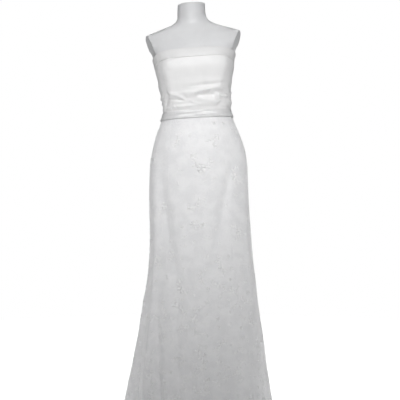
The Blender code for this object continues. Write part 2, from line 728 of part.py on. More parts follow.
def join_to(part, shape, name, cutters, operation):
    """Adds or cuts one more shape from a part, and keeps the helper out of the render."""
    helper = small_part(name, shape, part.data.materials[0], cutters, part.parent)
    helper.hide_render = True
    helper.display_type = "WIRE"
    change = part.modifiers.new(name, "BOOLEAN")
    change.operation = operation
    change.object = helper


def placed_frame(name, origin, across, up, collection):
    """An empty with +X across, +Z up and +Y off the cloth."""
    frame = bpy.data.objects.new(name, None)
    axes = Matrix((across, up.cross(across), up)).transposed()
    frame.matrix_world = Matrix.Translation(origin) @ axes.to_4x4()
    collection.objects.link(frame)
    return frame


def zip_frames(collection):
    """The slider's frame on the neck band, and the frame of the pull's bar, whose X is the pull's axis.

    The slider follows the lean of the cloth, and the pull hangs straight down from the arch's lower leg.
    """
    low = bodice_point(180.0, ZIP_HEIGHT - SLIDER_LENGTH / 2)
    high = bodice_point(180.0, ZIP_HEIGHT + SLIDER_LENGTH / 2)
    up = (high - low).normalized()
    off = Vector((0.0, up.z, -up.y)).normalized()
    across = off.cross(up).normalized()
    off = up.cross(across)
    middle = (low + high) / 2
    leg = ARCH_LENGTH / 2 - ARCH_STRIP
    bar = middle + off * bar_distance() - up * (leg - PULL_BAR_RADIUS - SEAM_GAP)
    plumb = (Vector((0.0, 0.0, 1.0)) - across * across.z).normalized()
    return (
        placed_frame("zip_slider_place", middle, across, up, collection),
        placed_frame("zip_pull_axis", bar, across, plumb, collection),
    )


def slider_face():
    """How far the slider's outer face stands off the bodice."""
    return BAND_WALL - BODICE_WALL + SEAM_GAP + SLIDER_DEPTH


def bar_distance():
    """How far the pull's bar stands off the bodice, midway under the arch."""
    return slider_face() + (ARCH_DEPTH - ARCH_STRIP) / 2


def make_zip(collection, cutters):
    """The slider at the top of the zip, with an arch, and the pull that hangs from the arch on a bar."""
    nylon = plain_material(NYLON)
    slider_frame, pull_frame = zip_frames(collection)
    face = slider_face()
    half_width, half_length, half_arch = SLIDER_WIDTH / 2, SLIDER_LENGTH / 2, ARCH_LENGTH / 2
    body = box_mesh((-half_width, face - SLIDER_DEPTH, -half_length), (half_width, face, half_length))
    slider = small_part("zip_slider", body, nylon, collection, slider_frame)
    edges = slider.modifiers.new("eased_edges", "BEVEL")
    edges.width = SLIDER_EDGE
    edges.segments = 1
    arch = box_mesh(
        (-ARCH_WIDTH / 2, face - SLIDER_EDGE, -half_arch), (ARCH_WIDTH / 2, face + ARCH_DEPTH, half_arch)
    )
    join_to(slider, arch, "slider_arch", cutters, "UNION")
    leg = half_arch - ARCH_STRIP
    window = box_mesh((-SLIDER_WIDTH, face, -leg), (SLIDER_WIDTH, face + ARCH_DEPTH - ARCH_STRIP, leg))
    join_to(slider, window, "slider_arch_window", cutters, "DIFFERENCE")

    pull = small_part("zip_pull", pull_plate(), nylon, collection, pull_frame)
    half_window = PULL_WINDOW_WIDTH / 2
    window = box_mesh(
        (-half_window, -PULL_THICKNESS, PULL_WINDOW_FOOT), (half_window, PULL_THICKNESS, 2 * PULL_THICKNESS)
    )
    join_to(pull, window, "pull_window", cutters, "DIFFERENCE")
    bar = bmesh.new()
    bmesh.ops.create_cone(
        bar,
        cap_ends=True,
        segments=PULL_BAR_SIDES,
        radius1=PULL_BAR_RADIUS,
        radius2=PULL_BAR_RADIUS,
        depth=PULL_WINDOW_WIDTH + PULL_RAIL,
        matrix=Matrix.Rotation(math.radians(90), 4, "Y"),
    )
    join_to(pull, bar, "pull_bar", cutters, "UNION")


def pull_plate():
    """The pull's flat plate, from its half outline on both sides."""
    half = PULL_THICKNESS / 2
    outline = [*PULL_OUTLINE, *((-x, z) for x, z in reversed(PULL_OUTLINE))]
    plate = bmesh.new()
    front = plate.faces.new([plate.verts.new((x, -half, z)) for x, z in outline])
    extruded = bmesh.ops.extrude_face_region(plate, geom=[front])
    moved = [item for item in extruded["geom"] if isinstance(item, bmesh.types.BMVert)]
    bmesh.ops.translate(plate, vec=(0.0, PULL_THICKNESS, 0.0), verts=moved)
    bmesh.ops.recalc_face_normals(plate, faces=plate.faces[:])
    return plate


def clear_scene():
    """Removes what the starting scene holds."""
    for thing in list(bpy.data.objects):
        bpy.data.objects.remove(thing, do_unlink=True)


def main():
    """Builds the form, its stand and the dress."""
    clear_scene()
    parts = bpy.data.collections.new("wedding_dress_on_form")
    cutters = bpy.data.collections.new("cutters")
    for collection in (parts, cutters):
        bpy.context.scene.collection.children.link(collection)
    make_form(parts, cutters)
    make_stand(parts)
    make_bodice(parts)
    make_neck_band(parts)
    make_skirt(parts)
    make_ribbon(parts)
    make_zip(parts, cutters)


if __name__ == "__main__":
    main()
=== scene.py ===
"""Dresses a strapless wedding dress on its limbless form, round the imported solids.

Metres, +Z up, front toward -Y, left toward -X. An angle goes round the body: 0 at the centre front, +90 degrees
at the right side and 180 at the centre back. Every cloth panel is a thin closed shell through the sections,
seams, creases and folds of its solid, with finer ones added. Its UV map "cloth" is the panel laid flat, in
metres: across from its middle, and up from its lower edge. Embroidery, beads and stitches are laid on by
Geometry Nodes.
"""

import json
import logging
import math
from collections.abc import Callable, Sequence
from dataclasses import astuple, dataclass, fields, replace
from enum import Enum
from typing import Any

import bmesh
import bpy
import numpy as np
from mathutils import Matrix, Vector

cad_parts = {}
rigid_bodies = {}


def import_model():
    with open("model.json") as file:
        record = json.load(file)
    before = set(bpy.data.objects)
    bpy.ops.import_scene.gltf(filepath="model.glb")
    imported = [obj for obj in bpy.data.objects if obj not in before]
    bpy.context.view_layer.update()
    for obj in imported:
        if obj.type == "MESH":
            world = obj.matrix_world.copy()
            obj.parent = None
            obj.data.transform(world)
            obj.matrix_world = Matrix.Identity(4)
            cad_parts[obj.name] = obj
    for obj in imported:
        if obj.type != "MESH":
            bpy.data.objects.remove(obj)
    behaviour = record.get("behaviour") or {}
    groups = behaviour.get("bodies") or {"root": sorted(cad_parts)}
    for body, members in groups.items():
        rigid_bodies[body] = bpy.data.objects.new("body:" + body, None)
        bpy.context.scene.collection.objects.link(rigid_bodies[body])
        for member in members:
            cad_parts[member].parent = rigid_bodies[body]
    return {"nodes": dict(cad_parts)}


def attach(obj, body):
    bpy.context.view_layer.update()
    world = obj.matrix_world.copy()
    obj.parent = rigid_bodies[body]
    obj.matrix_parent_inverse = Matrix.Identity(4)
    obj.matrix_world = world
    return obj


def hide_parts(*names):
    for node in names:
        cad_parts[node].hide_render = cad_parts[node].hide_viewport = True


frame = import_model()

LOG = logging.getLogger("wedding_dress")
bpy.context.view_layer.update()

Array = np.ndarray
Field = Callable[[Array, Array], Array]
Pair = tuple[float, float]
Triple = tuple[float, float, float]
Colour = Triple


class Body(Enum):
    """The bodies that pieces ride on."""

    STAND = "dress_on_stand"
    PULL = "zip_pull_tab"


class Slot(Enum):
    """The record's material slots."""

    BODICE = "bodice_satin"
    SKIRT = "embroidered_satin"
    RIBBON = "ribbon_satin"
    FORM = "form_shell"
    STEEL = "stand_steel"
    ZIP = "zip_nylon"


class Held(Enum):
    """How a sheet of cloth is held."""

    STRETCHED = "stretched"
    HUNG = "hung"


# ---------------------------------------------------------------- sizes


@dataclass(frozen=True)
class Section:
    """A section of the dress or form: its centre's shift to the right, half width, reach forward and back,
    squareness in front and behind (2 is an ellipse), and lean in degrees."""

    height: float
    centre: float
    half_width: float
    front: float
    back: float
    square_front: float
    square_back: float
    lean: float


@dataclass(frozen=True)
class Seams:
    """The angles of the six seams at a height."""

    height: float
    back_left: float
    side_left: float
    front_left: float
    front_right: float
    side_right: float
    back_right: float


@dataclass(frozen=True)
class Crease:
    """A crease from one angle and height to another.

    A trough has a negative depth, a bow sags or lifts it, and an under is the half width of its lower side.
    """

    from_angle: float
    from_height: float
    to_angle: float
    to_height: float
    half_width: float
    depth: float
    bow: float = 0.0
    under: float = 0.0


@dataclass(frozen=True)
class Fold:
    """A fold down the skirt that drifts from one angle to another; a trough has a negative depth."""

    top_angle: float
    top_height: float
    foot_angle: float
    foot_height: float
    half_angle: float
    depth: float


HEM_HEIGHT = 0.012
WAIST_SEAM = 1.083
NECKLINE_FRONT = 1.312
NECKLINE_SIDE_DROP = 0.026
NECKLINE_BACK_DROP = 0.012
NECKLINE_CORNER = 36.0
BAND_HEIGHT = 0.032
RIBBON_LOW = 1.070
RIBBON_HIGH = 1.0965
FORM_BOTTOM = 0.700
FORM_TOP = 1.4835
FORM_INSET = 0.002

GOWN_SECTIONS = (
    Section(HEM_HEIGHT, 0.0000, 0.2750, 0.270, 0.262, 2.1, 2.1, 0.0),
    Section(0.100, 0.0025, 0.2590, 0.249, 0.247, 2.1, 2.1, 0.0),
    Section(0.200, 0.0050, 0.2408, 0.224, 0.228, 2.2, 2.1, 0.0),
    Section(0.300, 0.0080, 0.2245, 0.197, 0.205, 2.2, 2.1, 0.0),
    Section(0.400, 0.0080, 0.2085, 0.172, 0.183, 2.2, 2.1, 0.0),
    Section(0.500, 0.0110, 0.1942, 0.151, 0.163, 2.2, 2.1, 0.0),
    Section(0.600, 0.0095, 0.1840, 0.136, 0.148, 2.2, 2.1, 0.0),
    Section(0.700, 0.0060, 0.1803, 0.126, 0.138, 2.2, 2.1, 0.0),
    Section(0.800, 0.0018, 0.1785, 0.119, 0.134, 2.3, 2.2, 0.0),
    Section(0.900, 0.0010, 0.1752, 0.112, 0.132, 2.3, 2.3, 0.0),
    Section(0.940, 0.0015, 0.1700, 0.109, 0.127, 2.4, 2.3, 0.7),
    Section(0.980, -0.0003, 0.1605, 0.105, 0.117, 2.4, 2.3, 1.4),
    Section(1.020, -0.0033, 0.1470, 0.099, 0.102, 2.5, 2.3, 2.2),
    Section(1.050, -0.0048, 0.1345, 0.094, 0.090, 2.5, 2.3, 2.9),
    Section(WAIST_SEAM, -0.0053, 0.1253, 0.091, 0.081, 2.6, 2.3, 3.6),
    Section(1.100, -0.0048, 0.1213, 0.091, 0.079, 2.6, 2.3, 3.7),
    Section(1.120, -0.0048, 0.1182, 0.093, 0.079, 2.6, 2.3, 3.8),
    Section(1.145, -0.0072, 0.1202, 0.097, 0.080, 2.6, 2.3, 3.8),
    Section(1.170, -0.0100, 0.1232, 0.103, 0.082, 2.7, 2.3, 3.9),
    Section(1.195, -0.0115, 0.1290, 0.111, 0.085, 2.7, 2.3, 4.0),
    Section(1.220, -0.0112, 0.1352, 0.118, 0.088, 2.8, 2.3, 4.1),
    Section(1.245, -0.0125, 0.1408, 0.122, 0.091, 2.8, 2.3, 4.1),
    Section(1.270, -0.0148, 0.1418, 0.120, 0.094, 2.8, 2.3, 4.2),
    Section(1.290, -0.0150, 0.1462, 0.115, 0.097, 2.8, 2.3, 4.2),
    Section(1.305, -0.0156, 0.1518, 0.110, 0.099, 2.8, 2.4, 4.2),
    Section(1.320, -0.0162, 0.1590, 0.104, 0.101, 2.7, 2.4, 4.2),
)
FORM_HIP_SECTIONS = (
    Section(FORM_BOTTOM, 0.0010, 0.1600, 0.110, 0.116, 2.3, 2.3, 0.0),
    Section(0.760, 0.0012, 0.1655, 0.111, 0.122, 2.3, 2.3, 0.0),
    Section(0.830, 0.0010, 0.1695, 0.108, 0.127, 2.3, 2.3, 0.0),
    Section(0.900, 0.0010, 0.1665, 0.106, 0.126, 2.3, 2.3, 0.0),
    Section(0.940, 0.0010, 0.1630, 0.104, 0.121, 2.4, 2.3, 0.7),
    Section(0.980, -0.0003, 0.1550, 0.100, 0.112, 2.4, 2.3, 1.4),
    Section(1.020, -0.0033, 0.1427, 0.095, 0.098, 2.5, 2.3, 2.2),
    Section(1.050, -0.0048, 0.1313, 0.091, 0.087, 2.5, 2.3, 2.9),
    Section(1.066, -0.0050, 0.1265, 0.0895, 0.0825, 2.5, 2.3, 3.3),
)
FORM_SHOULDER_SECTIONS = (
    Section(1.336, -0.0171, 0.1740, 0.091, 0.098, 2.5, 2.4, 4.0),
    Section(1.352, -0.0178, 0.1830, 0.079, 0.094, 2.4, 2.4, 3.8),
    Section(1.368, -0.0187, 0.1840, 0.068, 0.089, 2.3, 2.3, 3.6),
    Section(1.380, -0.0190, 0.1650, 0.060, 0.084, 2.2, 2.3, 3.5),
    Section(1.390, -0.0194, 0.1380, 0.055, 0.079, 2.1, 2.2, 3.5),
    Section(1.400, -0.0206, 0.1080, 0.051, 0.074, 2.0, 2.1, 3.6),
    Section(1.410, -0.0209, 0.0805, 0.048, 0.068, 2.0, 2.0, 3.6),
    Section(1.421, -0.0216, 0.0622, 0.047, 0.062, 2.0, 2.0, 3.7),
    Section(1.436, -0.0234, 0.0522, 0.047, 0.056, 2.0, 2.0, 3.8),
    Section(1.460, -0.0251, 0.0500, 0.048, 0.052, 2.0, 2.0, 3.9),
    Section(FORM_TOP, -0.0252, 0.0492, 0.049, 0.050, 2.0, 2.0, 4.0),
)
SEAM_ANGLES = (
    Seams(HEM_HEIGHT, -126.0, -90.0, -46.0, 46.0, 90.0, 126.0),
    Seams(0.900, -126.0, -90.0, -47.0, 43.0, 90.0, 126.0),
    Seams(WAIST_SEAM, -146.0, -90.0, -50.0, 41.0, 90.0, 146.0),
    Seams(1.190, -142.0, -90.0, -48.0, 47.0, 90.0, 142.0),
    Seams(1.300, -138.0, -90.0, -47.0, 52.0, 90.0, 138.0),
    Seams(FORM_TOP, -138.0, -90.0, -47.0, 47.0, 90.0, 138.0),
)

PRINCESS_RISE = 0.0046
PRINCESS_HALF_ANGLE = 7.0
PRINCESS_INWARD = 4.5
PRINCESS_LOW = 1.100
PRINCESS_HIGH = 1.290
PRINCESS_FADE = 0.05
LEAST_STAND_OFF = 0.0008
CUP_RISE = 0.006
CUP_ANGLE = 38.0
CUP_HALF_ANGLE = 24.0
CUP_HEIGHT = 1.248
CUP_HALF_HEIGHT = 0.034

FULLNESS = 0.0038
FULLNESS_LOW = 1.098
FULLNESS_HIGH = 1.215
FULLNESS_FADE = 0.014
CREASE_REACH = 0.12
CREASE_FADE = 0.35
# The creases of the solids, then the finer ones between them
BODICE_CREASES = (
    Crease(-19.0, 1.1765, 50.0, 1.1860, 0.0060, -0.0030),
    Crease(-52.0, 1.1510, 44.0, 1.1690, 0.0085, 0.0042),
    Crease(-53.0, 1.1420, -24.0, 1.1300, 0.0055, -0.0038),
    Crease(-26.0, 1.1260, 8.0, 1.1200, 0.0060, -0.0030),
    Crease(1.0, 1.1470, 37.0, 1.1455, 0.0060, -0.0036),
    Crease(38.0, 1.1580, 64.0, 1.1430, 0.0060, -0.0030),
    Crease(3.0, 1.1360, 46.0, 1.1180, 0.0080, 0.0034),
    Crease(-52.0, 1.1130, -8.0, 1.1110, 0.0070, 0.0030),
    Crease(-10.0, 1.1060, 45.0, 1.1040, 0.0060, -0.0026),
    Crease(-88.0, 1.1480, -62.0, 1.1600, 0.0080, 0.0026),
    Crease(72.0, 1.1300, 104.0, 1.1400, 0.0080, 0.0026),
    Crease(112.0, 1.1600, 166.0, 1.1500, 0.0085, 0.0034),
    Crease(-168.0, 1.1520, -116.0, 1.1640, 0.0085, 0.0034),
    Crease(118.0, 1.1280, 172.0, 1.1240, 0.0080, -0.0028),
    Crease(-172.0, 1.1260, -112.0, 1.1300, 0.0080, -0.0028),
)
FINE_CREASES = (
    Crease(15.0, 1.1900, 46.0, 1.1885, 0.0180, 0.0030, 0.0, 0.0060),
    Crease(-22.0, 1.1770, 14.0, 1.1745, 0.0150, 0.0024, 0.0, 0.0060),
    Crease(-10.0, 1.1520, 30.0, 1.1635, 0.0080, 0.0040, 0.001, 0.0056),
    Crease(15.0, 1.1590, 27.0, 1.1660, 0.0044, 0.0032),
    Crease(30.0, 1.1680, 68.0, 1.1560, 0.0130, 0.0056, 0.006, 0.0062),
    Crease(34.0, 1.1545, 50.0, 1.1555, 0.0060, -0.0032),
    Crease(42.0, 1.1800, 45.0, 1.1280, 0.0110, 0.0032),
    Crease(43.0, 1.1400, 60.0, 1.1390, 0.0060, 0.0044, 0.0, 0.0040),
    Crease(0.0, 1.1180, 40.0, 1.1190, 0.0150, 0.0020, 0.001, 0.0070),
    Crease(36.0, 1.1120, 47.0, 1.1270, 0.0040, 0.0030),
    Crease(47.0, 1.1040, 62.0, 1.0990, 0.0070, 0.0044, 0.0, 0.0036),
    Crease(-50.0, 1.1600, -24.0, 1.1360, 0.0090, 0.0056, 0.0, 0.0048),
    Crease(-22.0, 1.1470, 3.0, 1.1490, 0.0110, 0.0036, 0.0, 0.0060),
    Crease(-42.0, 1.1300, -7.0, 1.1240, 0.0070, 0.0032, 0.001, 0.0052),
    Crease(-12.0, 1.1250, 8.0, 1.1170, 0.0050, 0.0026, 0.0, 0.0040),
    Crease(-46.0, 1.1080, -24.0, 1.1020, 0.0070, 0.0030, 0.0, 0.0044),
    Crease(-66.0, 1.1130, -49.0, 1.1030, 0.0050, 0.0026, 0.0, 0.0040),
    Crease(-51.0, 1.1540, -68.0, 1.1060, 0.0085, -0.0060),
    Crease(-43.0, 1.1150, -37.0, 1.1040, 0.0050, -0.0026),
    Crease(60.0, 1.1240, 88.0, 1.1160, 0.0070, 0.0034, 0.0, 0.0044),
    Crease(66.0, 1.1480, 96.0, 1.1560, 0.0065, 0.0030, 0.002, 0.0044),
    Crease(70.0, 1.1360, 100.0, 1.1330, 0.0050, -0.0026),
    Crease(-98.0, 1.1330, -66.0, 1.1260, 0.0060, 0.0032, -0.002, 0.0044),
    Crease(-86.0, 1.1470, -62.0, 1.1390, 0.0050, 0.0028, 0.0, 0.0044),
    Crease(-94.0, 1.1560, -70.0, 1.1680, 0.0055, -0.0026),
    Crease(100.0, 1.1260, 134.0, 1.1160, 0.0070, 0.0044, 0.0, 0.0050),
    Crease(106.0, 1.1420, 138.0, 1.1340, 0.0060, 0.0040, 0.001, 0.0044),
    Crease(126.0, 1.1500, 162.0, 1.1440, 0.0075, 0.0050, 0.002, 0.0054),
    Crease(142.0, 1.1730, 175.0, 1.1680, 0.0100, 0.0040, 0.0, 0.0060),
    Crease(150.0, 1.1180, 176.0, 1.1130, 0.0070, 0.0040, 0.0, 0.0044),
    Crease(-176.0, 1.1460, -140.0, 1.1390, 0.0070, 0.0050, 0.002, 0.0050),
    Crease(-172.0, 1.1650, -134.0, 1.1590, 0.0090, 0.0042, 0.0, 0.0056),
    Crease(-142.0, 1.1160, -108.0, 1.1240, 0.0070, 0.0044, 0.0, 0.0050),
    Crease(-130.0, 1.1320, -100.0, 1.1430, 0.0060, 0.0036, 0.0, 0.0044),
)

RIBBON_CREASES = (
    Crease(-64.0, 1.0800, -14.0, 1.0850, 0.0050, -0.0008, 0.001),
    Crease(-40.0, 1.0890, 10.0, 1.0915, 0.0060, 0.0008, 0.0, 0.0034),
    Crease(-8.0, 1.0795, 46.0, 1.0810, 0.0055, 0.0006, 0.0, 0.0034),
    Crease(14.0, 1.0900, 40.0, 1.0880, 0.0030, -0.0007, 0.001),
    Crease(52.0, 1.0830, 88.0, 1.0850, 0.0040, -0.0014),
    Crease(-104.0, 1.0840, -72.0, 1.0820, 0.0040, -0.0014),
    Crease(98.0, 1.0870, 142.0, 1.0820, 0.0045, 0.0018, 0.0, 0.0026),
    Crease(-150.0, 1.0810, -112.0, 1.0860, 0.0045, 0.0018, 0.0, 0.0026),
)

FOLD_ENDING = 0.10
FOLD_GROWTH = 1.15
SKIRT_FOLDS = (
    Fold(-69.0, 1.000, -62.0, 0.460, 6.0, 0.0080),
    Fold(-66.0, 0.640, -38.0, HEM_HEIGHT, 4.6, 0.0280),
    Fold(-66.0, 1.060, -46.0, 0.635, 7.0, -0.0085),
    Fold(-57.0, 0.800, -24.0, 0.400, 8.0, -0.0105),
    Fold(-31.0, 0.500, -12.0, HEM_HEIGHT, 4.4, -0.0150),
    Fold(-21.0, 0.460, 0.0, HEM_HEIGHT, 4.0, -0.0130),
    Fold(-75.0, 0.440, -58.0, HEM_HEIGHT, 5.4, -0.0280),
    Fold(-56.0, 0.500, -28.0, HEM_HEIGHT, 4.2, -0.0230),
    Fold(-43.0, 0.460, -18.0, HEM_HEIGHT, 4.4, 0.0060),
    Fold(68.0, 1.040, 34.0, 0.728, 7.0, -0.0075),
    Fold(47.0, 0.860, 16.0, 0.560, 8.5, -0.0080),
    Fold(74.0, 1.000, 62.0, 0.300, 6.0, 0.0060),
    Fold(14.0, 0.420, 19.0, HEM_HEIGHT, 9.0, 0.0070),
    Fold(34.0, 0.560, 30.0, HEM_HEIGHT, 8.0, -0.0060),
    Fold(54.0, 0.440, 46.0, HEM_HEIGHT, 9.0, 0.0060),
    Fold(76.0, 0.480, 70.0, HEM_HEIGHT, 7.0, -0.0080),
    Fold(104.0, 0.700, 108.0, HEM_HEIGHT, 8.0, -0.0140),
    Fold(124.0, 0.760, 130.0, HEM_HEIGHT, 9.0, 0.0160),
    Fold(148.0, 0.780, 153.0, HEM_HEIGHT, 7.5, -0.0150),
    Fold(170.0, 0.820, 172.0, HEM_HEIGHT, 7.0, 0.0150),
    Fold(-170.0, 0.820, -170.0, HEM_HEIGHT, 7.0, 0.0150),
    Fold(-147.0, 0.780, -150.0, HEM_HEIGHT, 7.5, -0.0150),
    Fold(-126.0, 0.740, -129.0, HEM_HEIGHT, 9.0, 0.0160),
    Fold(-102.0, 0.660, -106.0, HEM_HEIGHT, 8.0, -0.0130),
)
FINE_FOLDS = (
    Fold(-20.0, 0.330, -17.0, HEM_HEIGHT, 3.6, 0.0022),
    Fold(-12.0, 0.260, -11.0, HEM_HEIGHT, 3.0, -0.0018),
    Fold(20.0, 0.300, 23.0, HEM_HEIGHT, 3.4, -0.0020),
    Fold(28.0, 0.360, 30.0, HEM_HEIGHT, 3.2, 0.0020),
    Fold(52.0, 0.300, 52.0, HEM_HEIGHT, 3.4, 0.0022),
    Fold(-78.0, 0.380, -79.0, HEM_HEIGHT, 4.0, 0.0030),
    Fold(86.0, 0.420, 87.0, HEM_HEIGHT, 4.4, -0.0034),
    Fold(-38.0, 1.040, -42.0, 0.860, 4.5, -0.0012),
    Fold(-16.0, 1.045, -20.0, 0.900, 4.0, -0.0010),
    Fold(12.0, 1.040, 16.0, 0.880, 4.2, -0.0010),
    Fold(36.0, 1.045, 42.0, 0.870, 4.4, -0.0012),
    Fold(78.0, 1.030, 82.0, 0.850, 4.5, -0.0014),
    Fold(-80.0, 1.030, -84.0, 0.850, 4.5, -0.0014),
    Fold(116.0, 1.040, 112.0, 0.860, 5.0, -0.0014),
    Fold(-118.0, 1.040, -114.0, 0.860, 5.0, -0.0014),
    Fold(160.0, 1.030, 158.0, 0.880, 4.0, -0.0012),
    Fold(-160.0, 1.030, -158.0, 0.880, 4.0, -0.0012),
)


# ---------------------------------------------------------------- forms


class SmoothTable:
    """Rows of named sizes by height, joined by smooth curves that never overshoot a row."""

    def __init__(self, rows: Sequence[Any]) -> None:
        """Keeps the rows in order of height and works out their slopes.

        Args:
            rows: dataclass rows whose first field is the height.
        """
        kept = sorted(rows, key=lambda row: row.height)
        self.names = [one.name for one in fields(kept[0])]
        self.values = np.array([astuple(row) for row in kept])
        steps = np.diff(self.values, axis=0) / np.diff(self.values[:, :1], axis=0)
        before, after = steps[:-1], steps[1:]
        same = before * after > 0
        mean = 2 * before * after / np.where(same, before + after, 1.0)
        self.slopes = np.concatenate([steps[:1], np.where(same, mean, 0.0), steps[-1:]])

    def at(self, height: Array) -> dict[str, Array]:
        """The sizes at some heights.

        Args:
            height: heights in metres.

        Returns:
            Each column's values, by its name.
        """
        rows = self.values[:, 0]
        n = np.clip(np.searchsorted(rows, height) - 1, 0, len(rows) - 2)
        span = rows[n + 1] - rows[n]
        t = np.clip((height - rows[n]) / span, 0.0, 1.0)[..., None]
        span = span[..., None]
        values = (
            (1 + 2 * t) * (1 - t) ** 2 * self.values[n]
            + t * (1 - t) ** 2 * span * self.slopes[n]
            + t * t * (3 - 2 * t) * self.values[n + 1]
            + t * t * (t - 1) * span * self.slopes[n + 1]
        )
        return {name: values[..., column] for column, name in enumerate(self.names)}


SEAM_TABLE = SmoothTable(SEAM_ANGLES)


def smooth_step(value: Array) -> Array:
    """0 below 0, 1 above 1, and an even curve between."""
    t = np.clip(value, 0.0, 1.0)
    return t * t * (3 - 2 * t)


def hump(offset: Array, half_width: float) -> Array:
    """1 in the middle, falling smoothly to nothing on both sides."""
    return np.exp(-((offset / half_width) ** 2))


def turn_between(angle: Array, other: Array) -> Array:
    """The shortest turn from one angle to another, in degrees."""
    return (angle - other + 180.0) % 360.0 - 180.0


def cup_relief(angle: Array, height: Array) -> Array:
    """How far the two lobes of the bust stand out."""
    turned = hump(turn_between(np.abs(angle), CUP_ANGLE), CUP_HALF_ANGLE)
    return CUP_RISE * turned * hump(height - CUP_HEIGHT, CUP_HALF_HEIGHT)


def crease_relief(crease: Crease, angle: Array, height: Array) -> Array:
    """How far one crease moves the cloth."""
    turn = turn_between(crease.to_angle, crease.from_angle)
    along = turn_between(angle, crease.from_angle) / turn
    share = np.clip(along, 0.0, 1.0)
    level = crease.from_height + (crease.to_height - crease.from_height) * share
    level = level + crease.bow * np.sin(np.pi * share)
    start = smooth_step((CREASE_REACH + along) / CREASE_FADE)
    end = smooth_step((CREASE_REACH + 1.0 - along) / CREASE_FADE)
    half_width = np.where(height > level, crease.half_width, crease.under or crease.half_width)
    return crease.depth * start * end * hump(height - level, half_width)


def princess_relief(angle: Array, height: Array) -> Array:
    """The soft ridges that the front's two long seams hold up over the bust, a little inward of them."""
    seams = SEAM_TABLE.at(height)
    left = turn_between(angle, seams["front_left"] + PRINCESS_INWARD)
    right = turn_between(angle, seams["front_right"] - PRINCESS_INWARD)
    ridge = hump(left, PRINCESS_HALF_ANGLE) + hump(right, PRINCESS_HALF_ANGLE)
    rising = smooth_step((height - PRINCESS_LOW) / PRINCESS_FADE)
    return PRINCESS_RISE * ridge * rising * smooth_step((PRINCESS_HIGH - height) / (PRINCESS_FADE / 2))


def bodice_relief(angle: Array, height: Array) -> Array:
    """The bodice's cups, ridges, fullness and creases, which never press into the form."""
    rising = smooth_step((height - FULLNESS_LOW) / FULLNESS_FADE)
    held = rising * smooth_step((FULLNESS_HIGH - height) / (2 * FULLNESS_FADE))
    moved = FULLNESS + sum(crease_relief(one, angle, height) for one in BODICE_CREASES + FINE_CREASES)
    soft = (moved + np.sqrt(moved**2 + LEAST_STAND_OFF**2)) / 2
    return cup_relief(angle, height) + princess_relief(angle, height) + held * soft


def fold_relief(fold: Fold, angle: Array, height: Array) -> Array:
    """How far one fold moves the skirt."""
    down = (fold.top_height - height) / (fold.top_height - fold.foot_height)
    share = np.clip(down, 0.0, 1.0)
    middle = fold.top_angle + (fold.foot_angle - fold.top_angle) * share
    ending = 1.0
    if fold.foot_height > HEM_HEIGHT:
        ending = smooth_step((height - fold.foot_height + FOLD_ENDING) / (2 * FOLD_ENDING))
    return fold.depth * smooth_step(share * FOLD_GROWTH) * ending * hump(turn_between(angle, middle), fold.half_angle)


def skirt_relief(angle: Array, height: Array) -> Array:
    """The skirt's folds, large and fine."""
    return sum(fold_relief(fold, angle, height) for fold in SKIRT_FOLDS + FINE_FOLDS)


def ribbon_relief(angle: Array, height: Array) -> Array:
    """The ribbon's lengthwise creases."""
    return sum(crease_relief(one, angle, height) for one in RIBBON_CREASES)


class Surface:
    """A body's face through a table of sections, with its relief."""

    def __init__(self, sections: Sequence[Section], relief: Field) -> None:
        """Keeps the sections and the relief.

        Args:
            sections: the sections from low to high.
            relief: how far the face stands out at an angle and height.
        """
        self.table = SmoothTable(sections)
        self.relief = relief

    def points(self, angle: Array, height: Array, outward: Array | float = 0.0) -> Array:
        """Points of the face, moved outward level with the floor.

        Args:
            angle: angles in degrees.
            height: heights of the sections.
            outward: how far the points are moved out.

        Returns:
            The points, with x, y and z on the last axis.
        """
        row = self.table.at(height)
        turn = np.radians(angle)
        across, ahead = np.sin(turn), np.cos(turn)
        front = ahead > 0
        depth = np.where(front, row["front"], row["back"])
        square = np.where(front, row["square_front"], row["square_back"])
        half = row["half_width"]
        reach = (np.abs(across / half) ** square + np.abs(ahead / depth) ** square) ** (-1 / square)
        x, y = reach * across, -reach * ahead
        normal_x = np.sign(x) * np.abs(x / half) ** (square - 1) / half
        normal_y = np.sign(y) * np.abs(y / depth) ** (square - 1) / depth
        length = np.hypot(normal_x, normal_y)
        moved = outward + self.relief(angle, height)
        x, y = x + normal_x / length * moved, y + normal_y / length * moved
        z = height + x * np.tan(np.radians(row["lean"]))
        return np.stack([row["centre"] + x, y, z], axis=-1)


BODICE_FACE = Surface(GOWN_SECTIONS, bodice_relief)
SKIRT_FACE = Surface(GOWN_SECTIONS, skirt_relief)
WAIST_FACE = Surface(GOWN_SECTIONS, ribbon_relief)


class SeamLine(Enum):
    """The lines where cloth panels meet, from the centre back round by the left and the front."""

    START = "centre_back_left"
    BACK_LEFT = "back_left"
    SIDE_LEFT = "side_left"
    FRONT_LEFT = "front_left"
    FRONT_RIGHT = "front_right"
    SIDE_RIGHT = "side_right"
    BACK_RIGHT = "back_right"
    END = "centre_back_right"

    def angle(self, height: Array) -> Array:
        """The line's angle at some heights."""
        if self is SeamLine.START:
            return np.full(np.shape(height), -180.0)
        if self is SeamLine.END:
            return np.full(np.shape(height), 180.0)
        return SEAM_TABLE.at(height)[self.value]


def level_at(height: float) -> Callable[[Array], Array]:
    """An edge that keeps one height all round."""
    return lambda angle: np.full(np.shape(angle), height)


def neckline(angle: Array) -> Array:
    """The height of the dress's top edge: level across the front, lower at the sides and back."""
    away = np.abs(angle)
    side = smooth_step((away - NECKLINE_CORNER) / (90.0 - NECKLINE_CORNER))
    back = smooth_step((away - 90.0) / 90.0)
    return NECKLINE_FRONT - NECKLINE_SIDE_DROP * side - NECKLINE_BACK_DROP * back


def band_seam(angle: Array) -> Array:
    """The height of the seam between the bodice and its neck band."""
    return neckline(angle) - BAND_HEIGHT


# ---------------------------------------------------------------- node trees


